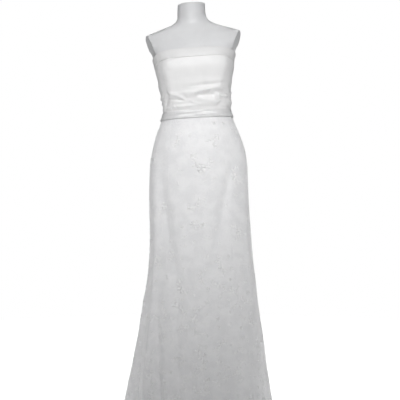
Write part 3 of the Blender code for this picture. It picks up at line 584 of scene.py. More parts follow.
class Value:
    """A socket's number, with the usual arithmetic."""

    def __init__(self, tree: "Tree", socket: bpy.types.NodeSocket) -> None:
        """Keeps the tree and the socket.

        Args:
            tree: where the nodes go.
            socket: the output that holds the number.
        """
        self.tree = tree
        self.socket = socket

    def maths(self, operation: str, *operands: Any) -> "Value":
        """A Math node's result.

        Args:
            operation: the node's operation.
            operands: its inputs in order.

        Returns:
            The result.
        """
        return self.tree.value("ShaderNodeMath", dict(enumerate(operands)), operation=operation)

    def __add__(self, other: Any) -> "Value":
        """The sum."""
        return self.maths("ADD", self, other)

    def __mul__(self, other: Any) -> "Value":
        """The product."""
        return self.maths("MULTIPLY", self, other)

    def __sub__(self, other: Any) -> "Value":
        """The difference."""
        return self.maths("SUBTRACT", self, other)

    def __rsub__(self, other: Any) -> "Value":
        """The difference from a number."""
        return self.maths("SUBTRACT", other, self)

    def __truediv__(self, other: Any) -> "Value":
        """The quotient."""
        return self.maths("DIVIDE", self, other)

    def __mod__(self, other: Any) -> "Value":
        """The remainder, never negative."""
        return self.maths("FLOORED_MODULO", self, other)

    __radd__ = __add__
    __rmul__ = __mul__

    def sine(self) -> "Value":
        """The sine."""
        return self.maths("SINE", self)

    def floor(self) -> "Value":
        """The whole number below."""
        return self.maths("FLOOR", self)

    def between(self, low: float, high: float) -> "Value":
        """0 below low, 1 above high, and an even curve between."""
        inputs = {"Value": self, "From Min": low, "From Max": high}
        return self.tree.value("ShaderNodeMapRange", inputs, interpolation_type="SMOOTHSTEP")


class Tree:
    """Adds nodes to a node tree."""

    def __init__(self, tree: bpy.types.NodeTree) -> None:
        """Keeps the tree.

        Args:
            tree: a shader or geometry tree.
        """
        self.tree = tree

    def node(self, kind: str, inputs: dict[Any, Any] | None = None, **settings: Any) -> Any:
        """A new node.

        Args:
            kind: the node's type.
            inputs: values or links of its sockets, by name or number.
            settings: its properties, set before the sockets.

        Returns:
            The node.
        """
        made = self.tree.nodes.new(kind)
        for name, value in settings.items():
            setattr(made, name, value)
        for key, value in (inputs or {}).items():
            source = value.socket if isinstance(value, Value) else value
            if isinstance(source, bpy.types.NodeSocket):
                self.tree.links.new(source, made.inputs[key])
            else:
                made.inputs[key].default_value = source
        return made

    def out(self, kind: str, inputs: dict[Any, Any] | None = None, output: int | str = 0, **settings: Any) -> Any:
        """One output of a new node."""
        return self.node(kind, inputs, **settings).outputs[output]

    def value(self, kind: str, inputs: dict[Any, Any] | None = None, output: int | str = 0, **settings: Any) -> Value:
        """One output of a new node, as a number that can be reckoned with."""
        return Value(self, self.out(kind, inputs, output, **settings))

    def axes(self, vector: Any) -> list[Value]:
        """A vector's x, y and z."""
        return [Value(self, axis) for axis in self.node("ShaderNodeSeparateXYZ", {"Vector": vector}).outputs]


TONE_BAND = (0.3, 0.7)
SCUFF_BAND = (0.55, 0.8)


class Paint(Tree):
    """One material's tree round a Principled shader."""

    def __init__(self, name: str, **constants: Any) -> None:
        """Makes the material.

        Args:
            name: the material's name.
            constants: values for the shader's own sockets, by their names with _ for a space.
        """
        self.material = bpy.data.materials.new(name)
        self.material.use_nodes = True
        super().__init__(self.material.node_tree)
        self.shader = self.tree.nodes["Principled BSDF"]
        for key, value in constants.items():
            self.shader.inputs[key.replace("_", " ")].default_value = value

    def drive(self, name: str, value: Any) -> None:
        """Links a value to one of the shader's sockets."""
        source = value.socket if isinstance(value, Value) else value
        self.tree.links.new(source, self.shader.inputs[name])

    def place_on(self, uv_map: str) -> tuple[Value, Value, Any]:
        """The place on a UV map: across, up, and both as one vector."""
        flat = self.out("ShaderNodeUVMap", uv_map=uv_map)
        across, up, _ = self.axes(flat)
        return across, up, flat

    def object_place(self) -> Any:
        """The place in the row frame."""
        return self.out("ShaderNodeTexCoord", output="Object")

    def noise(self, place: Any, scale: float, detail: float = 2.0, stretch: Triple = (1.0, 1.0, 1.0)) -> Value:
        """Smooth noise from 0 to 1.

        Args:
            place: the coordinates.
            scale: waves to a metre.
            detail: octaves.
            stretch: how much finer it is along each axis.

        Returns:
            The noise.
        """
        stretched = self.out("ShaderNodeMapping", {"Vector": place, "Scale": stretch})
        return self.value("ShaderNodeTexNoise", {"Vector": stretched, "Scale": scale, "Detail": detail})

    def mixed(self, share: Value, low: Colour, high: Colour) -> Any:
        """A colour between two, by a share."""
        return self.out("ShaderNodeMix", {0: share, 6: (*low, 1.0), 7: (*high, 1.0)}, 2, data_type="RGBA")

    def bump(self, height: Value, distance: float) -> None:
        """Feeds a bump to the shader.

        Args:
            height: the relief from 0 to 1.
            distance: what 1 stands for, in metres.
        """
        self.drive("Normal", self.out("ShaderNodeBump", {"Height": height, "Distance": distance, "Strength": 1.0}))


@dataclass(frozen=True)
class Finish:
    """What every finish of the dress and stand has: two tones and a roughness."""

    name: str
    light: Colour
    shade: Colour
    roughness: float

    def toned(self, paint: Paint, share: Value) -> None:
        """Colours the shader between the two tones, by a share."""
        paint.drive("Base Color", paint.mixed(share, self.shade, self.light))


@dataclass(frozen=True)
class SatinFinish(Finish):
    """Satin: fine warp and weft, slubs, and a soft change of tone."""

    sheen: float
    gloss: float = 0.60
    thread: float = 0.00042
    weave_depth: float = 0.00002
    slub_depth: float = 0.00010
    tone_scale: float = 22.0
    slub_scale: float = 90.0
    slub_stretch: Triple = (1.0, 7.0, 1.0)
    warp_share: float = 0.3
    weft_share: float = 0.7
    sheen_roughness: float = 0.45
    tone_swing: float = 0.12
    slub_swing: float = 0.10

    def started(self) -> tuple[Paint, Any, Value, Value]:
        """The material's beginning.

        Returns:
            The material, the place on the flat cloth, the weave's relief and the change of tone.
        """
        paint = Paint(
            self.name, Sheen_Weight=self.sheen, Sheen_Roughness=self.sheen_roughness, Specular_IOR_Level=self.gloss
        )
        across, up, flat = paint.place_on("cloth")
        turn = 2 * math.pi / self.thread
        weave = (across * turn).sine() * self.warp_share + (up * turn).sine() * self.weft_share
        return paint, flat, weave, paint.noise(flat, self.tone_scale, 3.0)

    def material(self) -> bpy.types.Material:
        """The finished material."""
        paint, flat, weave, tone = self.started()
        slub = paint.noise(flat, self.slub_scale, 3.0, self.slub_stretch)
        self.toned(paint, tone.between(*TONE_BAND))
        paint.drive("Roughness", self.roughness + (tone - 0.5) * self.tone_swing + (slub - 0.5) * self.slub_swing)
        paint.bump(weave * self.weave_depth + slub * self.slub_depth, 1.0)
        return paint.material


@dataclass(frozen=True)
class EmbroideredFinish(SatinFinish):
    """Satin under an all-over tone-on-tone pattern of scrolling sprigs, woven in between the raised ones."""

    sheen_roughness: float = 0.5
    sprig: float = 0.030
    sprig_depth: float = 0.00028
    bend_scale: float = 26.0
    bend_reach: float = 0.022
    curl_scale: float = 58.0
    curl_turns: float = 44.0
    stem_edge: Pair = (0.03, 0.10)
    leaf_edge: Pair = (0.10, 0.22)
    leaf_band: Pair = (0.55, 0.90)
    fuzz_scale: float = 700.0
    fuzz_depth: float = 0.00010
    figure_share: float = 0.2
    figure_swing: float = 0.16
    fuzz_swing: float = 0.10

    def material(self) -> bpy.types.Material:
        """The finished material."""
        paint, flat, weave, tone = self.started()
        drift = paint.out("ShaderNodeTexNoise", {"Vector": flat, "Scale": self.bend_scale, "Detail": 1.0}, "Color")
        reach = (self.bend_reach, self.bend_reach, 0.0)
        bent = paint.out("ShaderNodeVectorMath", {0: drift, 1: reach, 2: flat}, operation="MULTIPLY_ADD")
        net = {"Vector": bent, "Scale": 1.0 / self.sprig}
        cells = paint.value("ShaderNodeTexVoronoi", net, feature="DISTANCE_TO_EDGE")
        curls = (paint.noise(bent, self.curl_scale, 1.0) * self.curl_turns).sine() * 0.5 + 0.5
        stems = 1 - cells.between(*self.stem_edge)
        leaves = curls.between(*self.leaf_band) * cells.between(*self.leaf_edge)
        figure = stems.maths("MAXIMUM", stems, leaves)
        fuzz = paint.noise(flat, self.fuzz_scale, 2.0)
        toned = tone.between(*TONE_BAND) * (1 - self.figure_share)
        self.toned(paint, (toned + figure * self.figure_share).between(0.0, 1.0))
        paint.drive("Roughness", self.roughness + (figure - 0.5) * self.figure_swing + (fuzz - 0.5) * self.fuzz_swing)
        relief = figure * self.sprig_depth + weave * self.weave_depth + fuzz * figure * self.fuzz_depth
        paint.bump(relief, 1.0)
        return paint.material


@dataclass(frozen=True)
class ThreadFinish(Finish):
    """Embroidery thread: satin stitches that run across each cord and petal, with painted shade in the grooves between
    them.
    """

    stitch: float = 0.00055
    stitch_depth: float = 0.00008
    stitch_share: float = 0.4
    stitch_band: Pair = (0.2, 0.8)
    tone_scale: float = 160.0
    tone_swing: float = 0.15

    def material(self) -> bpy.types.Material:
        """The finished material."""
        paint = Paint(self.name, Sheen_Weight=0.25, Sheen_Roughness=0.4, Specular_IOR_Level=0.5)
        _, along, _ = paint.place_on("thread")
        stitches = (along * (2 * math.pi / self.stitch)).sine() * 0.5 + 0.5
        tone = paint.noise(paint.object_place(), self.tone_scale, 2.0)
        # Painted shade: the colour darkens between the stitches, where the bump dips, and lightens on their tops.
        share = stitches * self.stitch_share + tone * (1 - self.stitch_share)
        self.toned(paint, share.between(*self.stitch_band))
        paint.drive("Roughness", self.roughness + (tone - 0.5) * self.tone_swing)
        paint.bump(stitches, self.stitch_depth)
        return paint.material


@dataclass(frozen=True)
class GlossFinish(Finish):
    """A hard glossy finish, such as pearl or enamel, a little cloudy and scuffed."""

    coat: float
    cloud: float
    scuff: float
    scuff_depth: float = 0.00001
    scuff_swing: float = 0.18
    cloud_swing: float = 0.05

    def material(self) -> bpy.types.Material:
        """The finished material."""
        paint = Paint(self.name, Coat_Weight=self.coat, Coat_Roughness=0.08)
        place = paint.object_place()
        cloud = paint.noise(place, self.cloud, 2.0)
        scuff = paint.noise(place, self.scuff, 4.0)
        self.toned(paint, cloud.between(*TONE_BAND))
        worn = scuff.between(*SCUFF_BAND) * self.scuff_swing
        paint.drive("Roughness", self.roughness + worn + (cloud - 0.5) * self.cloud_swing)
        paint.bump(scuff, self.scuff_depth)
        return paint.material


@dataclass(frozen=True)
class ShellFinish(Finish):
    """The form's white shell: matt lacquer with a fine orange peel, faint clouds and rubbed places."""

    cloud_share: float = 0.7
    cloud_scale: float = 14.0
    peel_scale: float = 420.0
    peel_depth: float = 0.00003
    rub_scale: float = 60.0
    rub_stretch: Triple = (1.0, 1.0, 0.35)
    rub_depth: float = 0.00004
    rub_tone_band: Pair = (0.35, 0.75)
    rub_shine_band: Pair = (0.6, 0.8)
    swing: float = 0.10

    def material(self) -> bpy.types.Material:
        """The finished material."""
        paint = Paint(self.name, Coat_Weight=0.12, Coat_Roughness=0.22, Specular_IOR_Level=0.45)
        place = paint.object_place()
        clouds = paint.noise(place, self.cloud_scale, 3.0)
        peel = paint.noise(place, self.peel_scale, 1.0)
        rubs = paint.noise(place, self.rub_scale, 5.0, self.rub_stretch)
        clouded = clouds.between(*TONE_BAND) * self.cloud_share
        share = clouded + rubs.between(*self.rub_tone_band) * (1 - self.cloud_share)
        self.toned(paint, share.between(0.0, 1.0))
        polished = rubs.between(*self.rub_shine_band) * self.swing
        paint.drive("Roughness", self.roughness + (clouds - 0.5) * self.swing - polished)
        paint.bump(peel * self.peel_depth + rubs * self.rub_depth, 1.0)
        return paint.material


@dataclass(frozen=True)
class SteelFinish(Finish):
    """Brushed steel with fine rings and a few dull marks."""

    brush_scale: float = 900.0
    brush_stretch: Triple = (0.04, 0.04, 1.0)
    brush_share: float = 0.4
    brush_depth: float = 0.00002
    brush_swing: float = 0.10
    mark_scale: float = 45.0
    mark_swing: float = 0.14

    def material(self) -> bpy.types.Material:
        """The finished material."""
        paint = Paint(self.name, Metallic=1.0)
        place = paint.object_place()
        brush = paint.noise(place, self.brush_scale, 2.0, self.brush_stretch)
        marks = paint.noise(place, self.mark_scale, 4.0)
        share = marks * (1 - self.brush_share) + brush * self.brush_share
        self.toned(paint, share.between(*TONE_BAND))
        dulled = marks.between(*SCUFF_BAND) * self.mark_swing
        paint.drive("Roughness", self.roughness + brush * self.brush_swing + dulled)
        paint.bump(brush, self.brush_depth)
        return paint.material


@dataclass(frozen=True)
class FloorFinish:
    """The studio's pale floor. Painted light: it glows like a lamp into the surround and onto the dress. Painted
    shadow: its glow dims towards a softer middle in front of the dress, in place of the shade that the dress would
    cast.
    """

    name: str
    colour: Colour
    glow: float
    # soft is the dim glow of the painted shadow at the middle, and spread is how far from the middle it fades into the
    # full glow.
    soft: float
    middle: Triple
    spread: Pair
    grain_scale: float = 3.0
    worn_share: float = 0.985

    def material(self) -> bpy.types.Material:
        """The finished material."""
        paint = Paint(self.name, Roughness=0.9, Emission_Strength=self.glow)
        place = paint.object_place()
        grain = paint.noise(place, self.grain_scale, 2.0)
        shade = tuple(self.worn_share * part for part in self.colour)
        away = paint.value("ShaderNodeVectorMath", {0: place, 1: self.middle}, "Value", operation="DISTANCE")
        paint.drive("Base Color", paint.mixed(grain, shade, self.colour))
        # Painted light and painted shadow: the floor glows white away from the middle and only dimly near it.
        paint.drive("Emission Color", paint.mixed(away.between(*self.spread), (self.soft,) * 3, (1.0, 1.0, 1.0)))
        return paint.material


BODICE_SATIN = SatinFinish("bodice_satin_cloth", (0.842, 0.839, 0.837), (0.814, 0.811, 0.810), 0.43, 0.04, 0.42)
# Painted shade: the band is the bodice's satin given a darker colour, which offsets the extra light that its upturned
# face catches from the key light.
SHADED_BAND_SATIN = SatinFinish("neck_band_cloth", (0.770, 0.767, 0.767), (0.742, 0.739, 0.739), 0.42, 0.04, 0.30)
SKIRT_SATIN = EmbroideredFinish("embroidered_cloth", (0.880, 0.878, 0.884), (0.817, 0.816, 0.825), 0.50, 0.55, 0.40)
RIBBON_SATIN = SatinFinish(
    "ribbon_cloth", (0.75, 0.75, 0.75), (0.68, 0.68, 0.685), 0.30, 0.0, 1.0, 0.0006, 0.00004, 0.00004, 40.0
)
LACE_THREAD = ThreadFinish("embroidery_thread", (0.93, 0.93, 0.93), (0.89, 0.89, 0.895), 0.36)
SEWING_THREAD = GlossFinish("sewing_thread", (0.86, 0.86, 0.855), (0.76, 0.76, 0.76), 0.5, 0.0, 300.0, 1500.0)
BEAD_PEARL = GlossFinish("bead_pearl", (0.93, 0.93, 0.92), (0.86, 0.86, 0.87), 0.26, 0.3, 300.0, 900.0)
FORM_LACQUER = ShellFinish("form_lacquer", (0.765, 0.767, 0.777), (0.730, 0.732, 0.742), 0.44)
STAND_STEEL = SteelFinish("brushed_steel", (0.66, 0.66, 0.67), (0.52, 0.52, 0.53), 0.30)
ZIP_ENAMEL = GlossFinish("zip_enamel", (0.86, 0.86, 0.855), (0.80, 0.80, 0.80), 0.24, 0.4, 220.0, 700.0)
# The floor's glow is painted light, and its dim middle in front of the dress is a painted shadow.
STUDIO_FLOOR = FloorFinish("studio_floor", (0.80, 0.80, 0.80), 0.92, 0.42, (0.0, -0.75, 0.0), (0.30, 1.12))


# ---------------------------------------------------------------- meshes and pieces


def placed(name: str, data: Any) -> Any:
    """A new object in the scene."""
    made = bpy.data.objects.new(name, data)
    bpy.context.scene.collection.objects.link(made)
    return made


def mesh_piece(name: str, points: Any, faces: Any, finish: bpy.types.Material | None) -> Any:
    """A smooth mesh object.

    Args:
        name: the object's name.
        points: its points.
        faces: its faces, as rows of point numbers.
        finish: its material.

    Returns:
        The object.
    """
    mesh = bpy.data.meshes.new(name)
    mesh.from_pydata(np.asarray(points).tolist(), [], [list(map(int, face)) for face in faces])
    mesh.shade_smooth()
    if finish is not None:
        mesh.materials.append(finish)
    return placed(name, mesh)


def grid_faces(rows: int, columns: int, closed: bool = False) -> Array:
    """The quads of a grid of points whose rows go up and columns go round to the right, all round if it's closed."""
    row, column = np.arange(rows - 1)[:, None] * columns, np.arange(columns if closed else columns - 1)
    start, after = (row + column).ravel(), (row + (column + 1) % columns).ravel()
    return np.stack([start, after, after + columns, start + columns], axis=1)


def settled(piece: Any, body: Body, slot: Slot, *nodes: str) -> Any:
    """Seats a finished piece on its body and hides the solids that it stands for.

    Args:
        piece: the object.
        body: what it rides on.
        slot: the record's material slot; not used.
        nodes: the solids that it replaces.

    Returns:
        The piece.
    """
    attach(piece, body.value)
    if nodes:
        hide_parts(*nodes)
    LOG.info("%s: %d faces", piece.name, len(piece.data.polygons))
    return piece


def removed(*things: Any) -> None:
    """Removes helper objects that aren't part of the dress."""
    for thing in things:
        bpy.data.objects.remove(thing, do_unlink=True)


def run_along(points: Array, axis: int) -> Array:
    """How far each point of a grid lies along its column (axis 0) or its row (axis 1)."""
    steps = np.linalg.norm(np.diff(points, axis=axis), axis=2)
    return np.insert(np.cumsum(steps, axis=axis), 0, 0.0, axis=axis)


@dataclass(frozen=True)
class Cut:
    """A panel's flat cut: its width, length and area."""

    width: float
    length: float
    area: float


PUFF_FULLNESS = 0.8
EDGE_ROLL = np.array([0.0, 0.15, 0.45, 1.0, 2.2])
ROLL_CLEAR = 1.6
SEAM_PASSES = 4
LENGTH_SAMPLES = 41
LINE_ENDS = (0.004, 0.996)
LINE_POINTS = 160


@dataclass(frozen=True)
class Panel:
    """A cut piece of cloth between two seam lines, and between a low and a high edge.

    Its lean is how far the high edge stands out past the low one, or, below zero, the low past the high.
    """

    name: str
    left: SeamLine
    right: SeamLine
    low: Callable[[Array], Array]
    high: Callable[[Array], Array]
    surface: Surface
    cut: Cut
    proud: float = 0.0
    wall: float = 0.0008
    cell: float = 0.003
    row: float = 0.003
    puff: float = 0.0
    lean: float = 0.0
    seam_gap: float = 0.0001

    def places(self, across: Array, up: Array) -> tuple[Array, Array]:
        """Angles and heights at shares of the way across and up.

        Args:
            across: shares from the left seam to the right.
            up: shares from the low edge to the high.

        Returns:
            The angles and the heights.
        """
        angle = np.zeros(np.broadcast(across, up).shape)
        height = angle
        for _ in range(SEAM_PASSES):
            low = self.low(angle)
            height = low + up * (self.high(angle) - low)
            start = self.left.angle(height)
            angle = start + across * (self.right.angle(height) - start)
        return angle, height

    def face(self, across: Array, up: Array, outward: Array | float) -> Array:
        """Points of the panel's face at shares of the way across and up."""
        angle, height = self.places(across, up)
        puffed = self.puff * np.sin(np.pi * np.clip(up, 0.0, 1.0)) ** PUFF_FULLNESS
        leant = self.lean * up if self.lean > 0 else self.lean * (up - 1)
        return self.surface.points(angle, height, self.proud + puffed + leant + outward)

    def shares(self, length: float, cell: float) -> Array:
        """Shares of a length: even cells, with closer ones at both ends where the edge rolls in."""
        ends = EDGE_ROLL * (self.wall / 2) / length
        count = max(2, round(length / cell))
        middle = np.linspace(0.0, 1.0, count + 1)
        clear = ROLL_CLEAR * ends[-1]
        middle = middle[(middle > clear) & (middle < 1 - clear)]
        return np.concatenate([ends, middle, 1 - ends[::-1]])

    def lengths(self) -> Pair:
        """The panel's largest width and its length up the middle."""
        t = np.linspace(0.0, 1.0, LENGTH_SAMPLES)
        points = self.face(t[None, :], t[:, None], 0.0)
        rows = np.linalg.norm(np.diff(points, axis=1), axis=2).sum(axis=1)
        middle = np.linalg.norm(np.diff(points[:, LENGTH_SAMPLES // 2], axis=0), axis=1).sum()
        return float(rows.max()), float(middle)

    def grid(self) -> tuple[Array, Array, Array]:
        """The shares across and up, and how far each point's edges roll in."""
        width, length = self.lengths()
        across, up = self.shares(width, self.cell)[None, :], self.shares(length, self.row)[:, None]
        gap = self.seam_gap
        across = gap / width + across * (1 - 2 * gap / width)
        up = gap / length + up * (1 - 2 * gap / length)
        points = self.face(across, up, 0.0)
        row, column = run_along(points, 1), run_along(points, 0)
        away = np.minimum.reduce([row, row[:, -1:] - row, column, column[-1:] - column])
        roll = self.wall / 2
        inside = 1 - np.clip(away / roll, 0.0, 1.0)
        return across, up, roll * (1 - np.sqrt(np.clip(1 - inside**2, 0.0, 1.0)))

    def flat_places(self, points: Array) -> Array:
        """Where the points lie on the flat cloth: across from the middle column, and up from the low edge."""
        row = run_along(points, 1)
        middle = points.shape[1] // 2
        up = run_along(points, 0)[:, middle : middle + 1]
        return np.stack([row - row[:, middle : middle + 1], np.broadcast_to(up, row.shape)], axis=-1)

    def shell(self, finish: bpy.types.Material) -> Any:
        """The panel as a thin closed shell with rolled edges and its flat UV map.

        Args:
            finish: its material.

        Returns:
            The object.
        """
        across, up, roll = self.grid()
        outer = self.face(across, up, -roll)
        inner = self.face(across, up, roll - self.wall)
        rim = np.zeros(outer.shape[:2], dtype=bool)
        rim[[0, -1]] = True
        rim[:, [0, -1]] = True
        rim = rim.ravel()
        behind = np.where(rim, np.arange(rim.size), rim.size + np.cumsum(~rim) - 1)
        quads = grid_faces(*outer.shape[:2])
        flat = self.flat_places(outer).reshape(-1, 2)
        points = np.concatenate([outer.reshape(-1, 3), inner.reshape(-1, 3)[~rim]])
        made = mesh_piece(self.name + "_cloth", points, np.concatenate([quads, behind[quads[:, ::-1]]]), finish)
        add_map(made, "cloth", np.concatenate([flat, flat[~rim]]))
        return made

    def open_face(self) -> Any:
        """The panel's outer face alone with its flat UV map, a helper for what lies on it."""
        width, length = self.lengths()
        columns, rows = max(3, round(width / self.cell)), max(3, round(length / self.row))
        across, up = np.linspace(0.0, 1.0, columns + 1)[None, :], np.linspace(0.0, 1.0, rows + 1)[:, None]
        points = self.face(across, up, 0.0)
        made = mesh_piece(self.name + "_face", points.reshape(-1, 3), grid_faces(rows + 1, columns + 1), None)
        add_map(made, "cloth", self.flat_places(points).reshape(-1, 2))
        return made

    def line(self, level: float) -> Array:
        """A line across the panel's face at a height above its low edge."""
        across = np.linspace(*LINE_ENDS, LINE_POINTS)
        return self.face(across, np.full(across.shape, level / self.lengths()[1]), 0.0)


def add_map(piece: Any, name: str, places: Array) -> None:
    """Gives a mesh a UV map.

    Args:
        piece: the object.
        name: the map's name.
        places: a place for each of the mesh's points.
    """
    mesh = piece.data
    layer = mesh.uv_layers.new(name=name)
    corners = np.zeros(len(mesh.loops), dtype=np.int64)
    mesh.loops.foreach_get("vertex_index", corners)
    layer.data.foreach_set("uv", places[corners].astype(np.float32).ravel())


# ---------------------------------------------------------------- embroidery and stitches


class GeometryTree(Tree):
    """A Geometry Nodes tree with named inputs."""

    def __init__(self, name: str, **sockets: str) -> None:
        """Makes the tree and its inputs.

        Args:
            name: the tree's name.
            sockets: each input's kind, by its name.
        """
        super().__init__(bpy.data.node_groups.new(name, "GeometryNodeTree"))
        self.identifiers = {}
        for key, kind in sockets.items():
            item = self.tree.interface.new_socket(key, in_out="INPUT", socket_type="NodeSocket" + kind)
            self.identifiers[key] = item.identifier
        self.tree.interface.new_socket("Geometry", in_out="OUTPUT", socket_type="NodeSocketGeometry")
        self.entry = self.tree.nodes.new("NodeGroupInput")

    def given(self, name: str) -> Value:
        """One of the tree's inputs."""
        return Value(self, self.entry.outputs[name])

    def ended(self, geometry: Any) -> None:
        """Takes a geometry as the tree's result, its instances made real and its material set."""
        real = self.out("GeometryNodeRealizeInstances", {"Geometry": geometry})
        painted = self.out("GeometryNodeSetMaterial", {"Geometry": real, "Material": self.given("Finish")})
        self.node("NodeGroupOutput", {"Geometry": painted})

    def grown(self, name: str, **values: Any) -> Any:
        """The tree's result as a plain mesh object.

        Args:
            name: the object's name.
            values: the inputs' values, by their names.

        Returns:
            The object.
        """
        host = placed(name + "_host", bpy.data.meshes.new(name + "_host"))
        grow = host.modifiers.new("grow", "NODES")
        grow.node_group = self.tree
        for key, value in values.items():
            grow[self.identifiers[key]] = value
        depsgraph = bpy.context.evaluated_depsgraph_get()
        mesh = bpy.data.meshes.new_from_object(host.evaluated_get(depsgraph), depsgraph=depsgraph)
        removed(host)
        mesh.shade_smooth()
        return placed(name, mesh)


def scatter_tree() -> GeometryTree:
    """Motifs strewn in half-drop rows over a flat cloth, then laid on its curved face."""
    grow = GeometryTree(
        "scatter", Face="Object", Motifs="Collection", Finish="Material", Width="Float", Length="Float",
        Columns="Int", Rows="Int", Jitter="Float", Smallest="Float", Largest="Float", Top="Float", Seed="Int",
    )
    given = grow.given
    seed, length = given("Seed"), given("Length")

    def draw(kind: str, offset: int, low: Any, high: Any) -> Value:
        """A random value at each point."""
        lowest, highest, output = {"FLOAT_VECTOR": (0, 1, 0), "FLOAT": (2, 3, 1), "INT": (4, 5, 2)}[kind]
        inputs = {lowest: low, highest: high, "Seed": seed + offset}
        return grow.value("FunctionNodeRandomValue", inputs, output, data_type=kind)

    def moved(vector: Any, factor: Any, start: Any) -> Any:
        """A vector times a factor, from a start."""
        return grow.out("ShaderNodeVectorMath", {0: vector, 1: factor, 2: start}, operation="MULTIPLY_ADD")

    sides = {"Size X": given("Width"), "Size Y": length, "Vertices X": given("Columns"), "Vertices Y": given("Rows")}
    grid = grow.out("GeometryNodeMeshGrid", sides)
    column = (grow.value("GeometryNodeInputIndex") / given("Rows")).floor()
    drop = (column % 2.0) * 0.5 * length / given("Rows") + length * 0.5
    middle = grow.out("ShaderNodeCombineXYZ", {"Y": drop})
    strewn = moved(draw("FLOAT_VECTOR", 0, (-1.0, -1.0, 0.0), (1.0, 1.0, 0.0)), given("Jitter"), middle)
    places = grow.out("GeometryNodeSetPosition", {"Geometry": grid, "Offset": strewn})
    up = grow.axes(grow.out("GeometryNodeInputPosition"))[1] / length
    share = given("Top") + (1 - given("Top")) * (1 - up)
    chance = {0: draw("FLOAT", 1, 0.0, 1.0), 1: share}
    kept = grow.value("FunctionNodeCompare", chance, operation="LESS_THAN", data_type="FLOAT")
    motifs = {"Collection": given("Motifs"), "Separate Children": True, "Reset Children": True}
    turn = grow.out("ShaderNodeCombineXYZ", {"Z": draw("FLOAT", 2, 0.0, 2 * math.pi)})
    sown = grow.out(
        "GeometryNodeInstanceOnPoints",
        {
            "Points": places,
            "Selection": kept,
            "Instance": grow.out("GeometryNodeCollectionInfo", motifs),
            "Pick Instance": True,
            "Instance Index": draw("INT", 3, 0, 999),
            "Rotation": grow.out("FunctionNodeEulerToRotation", {"Euler": turn}),
            "Scale": draw("FLOAT", 4, given("Smallest"), given("Largest")),
        },
    )
    real = grow.out("GeometryNodeRealizeInstances", {"Geometry": sown})
    face = grow.out("GeometryNodeObjectInfo", {"Object": given("Face")}, "Geometry")
    flat = grow.out("GeometryNodeInputNamedAttribute", {"Name": "cloth"}, "Attribute", data_type="FLOAT_VECTOR")
    across, up, lift = grow.axes(grow.out("GeometryNodeInputPosition"))
    below = grow.out("ShaderNodeCombineXYZ", {"X": across, "Y": up})

    def sampled(source: str) -> Any:
        """What the curved face has at the place below a point."""
        inputs = {"Mesh": face, "Value": grow.out(source), "UV Map": flat, "Sample UV": below}
        return grow.node("GeometryNodeSampleUVSurface", inputs, data_type="FLOAT_VECTOR").outputs

    position, normal = sampled("GeometryNodeInputPosition"), sampled("GeometryNodeInputNormal")
    island = grow.out("GeometryNodeInputMeshIsland", output="Island Index")
    missed = {"Value": 1 - Value(grow, position["Is Valid"]), "Group ID": island}
    outside = grow.value("GeometryNodeAccumulateField", missed, "Total", data_type="FLOAT", domain="POINT")
    overhanging = grow.value("FunctionNodeCompare", {0: outside, 1: 0.5}, operation="GREATER_THAN")
    whole = grow.out("GeometryNodeDeleteGeometry", {"Geometry": real, "Selection": overhanging}, domain="POINT")
    lifted = moved(normal["Value"], lift, position["Value"])
    grow.ended(grow.out("GeometryNodeSetPosition", {"Geometry": whole, "Position": lifted}))
    return grow


def stitch_tree() -> GeometryTree:
    """A row of stitches along a line."""
    grow = GeometryTree("stitches", Line="Object", Finish="Material", Pitch="Float", Long="Float", Thick="Float")
    line = grow.out("GeometryNodeObjectInfo", {"Object": grow.given("Line")}, "Geometry")
    curve = grow.out("GeometryNodeMeshToCurve", {"Mesh": line})
    spaced = grow.out("GeometryNodeResampleCurve", {"Curve": curve, "Length": grow.given("Pitch")}, mode="LENGTH")
    bead = grow.out("GeometryNodeMeshUVSphere", {"Segments": 6, "Rings": 5, "Radius": 0.5})
    size = {"X": grow.given("Long"), "Y": grow.given("Thick"), "Z": grow.given("Thick")}
    along = {"Vector": grow.out("GeometryNodeInputTangent")}
    sewn = grow.out(
        "GeometryNodeInstanceOnPoints",
        {
            "Points": spaced,
            "Instance": bead,
            "Rotation": grow.out("FunctionNodeAlignRotationToVector", along, axis="X"),
            "Scale": grow.out("ShaderNodeCombineXYZ", size),
        },
    )
    grow.ended(sewn)
    return grow


CURL_TIGHTENING = 1.7


def curl_path(start: Sequence[float], heading: float, length: float, curl: float, stations: int = 12) -> Array:
    """A path that sets out along a heading and curls more and more.

    Args:
        start: where it starts.
        heading: the direction at the start, in degrees.
        length: how long it is.
        curl: how far it has turned at the end, in degrees.
        stations: how many points it has.

    Returns:
        The points.
    """
    share = np.linspace(0.0, 1.0, stations)
    turned = np.radians(heading + curl * share**CURL_TIGHTENING)
    moves = np.stack([np.cos(turned), np.sin(turned)], axis=1)[:-1] * length / (stations - 1)
    return np.concatenate([[start], np.asarray(start) + np.cumsum(moves, axis=0)])


def heading_at(path: Array, station: int) -> float:
    """Which way a path runs on from one of its points, in degrees."""
    along = path[station + 1] - path[station]
    return math.degrees(math.atan2(along[1], along[0]))


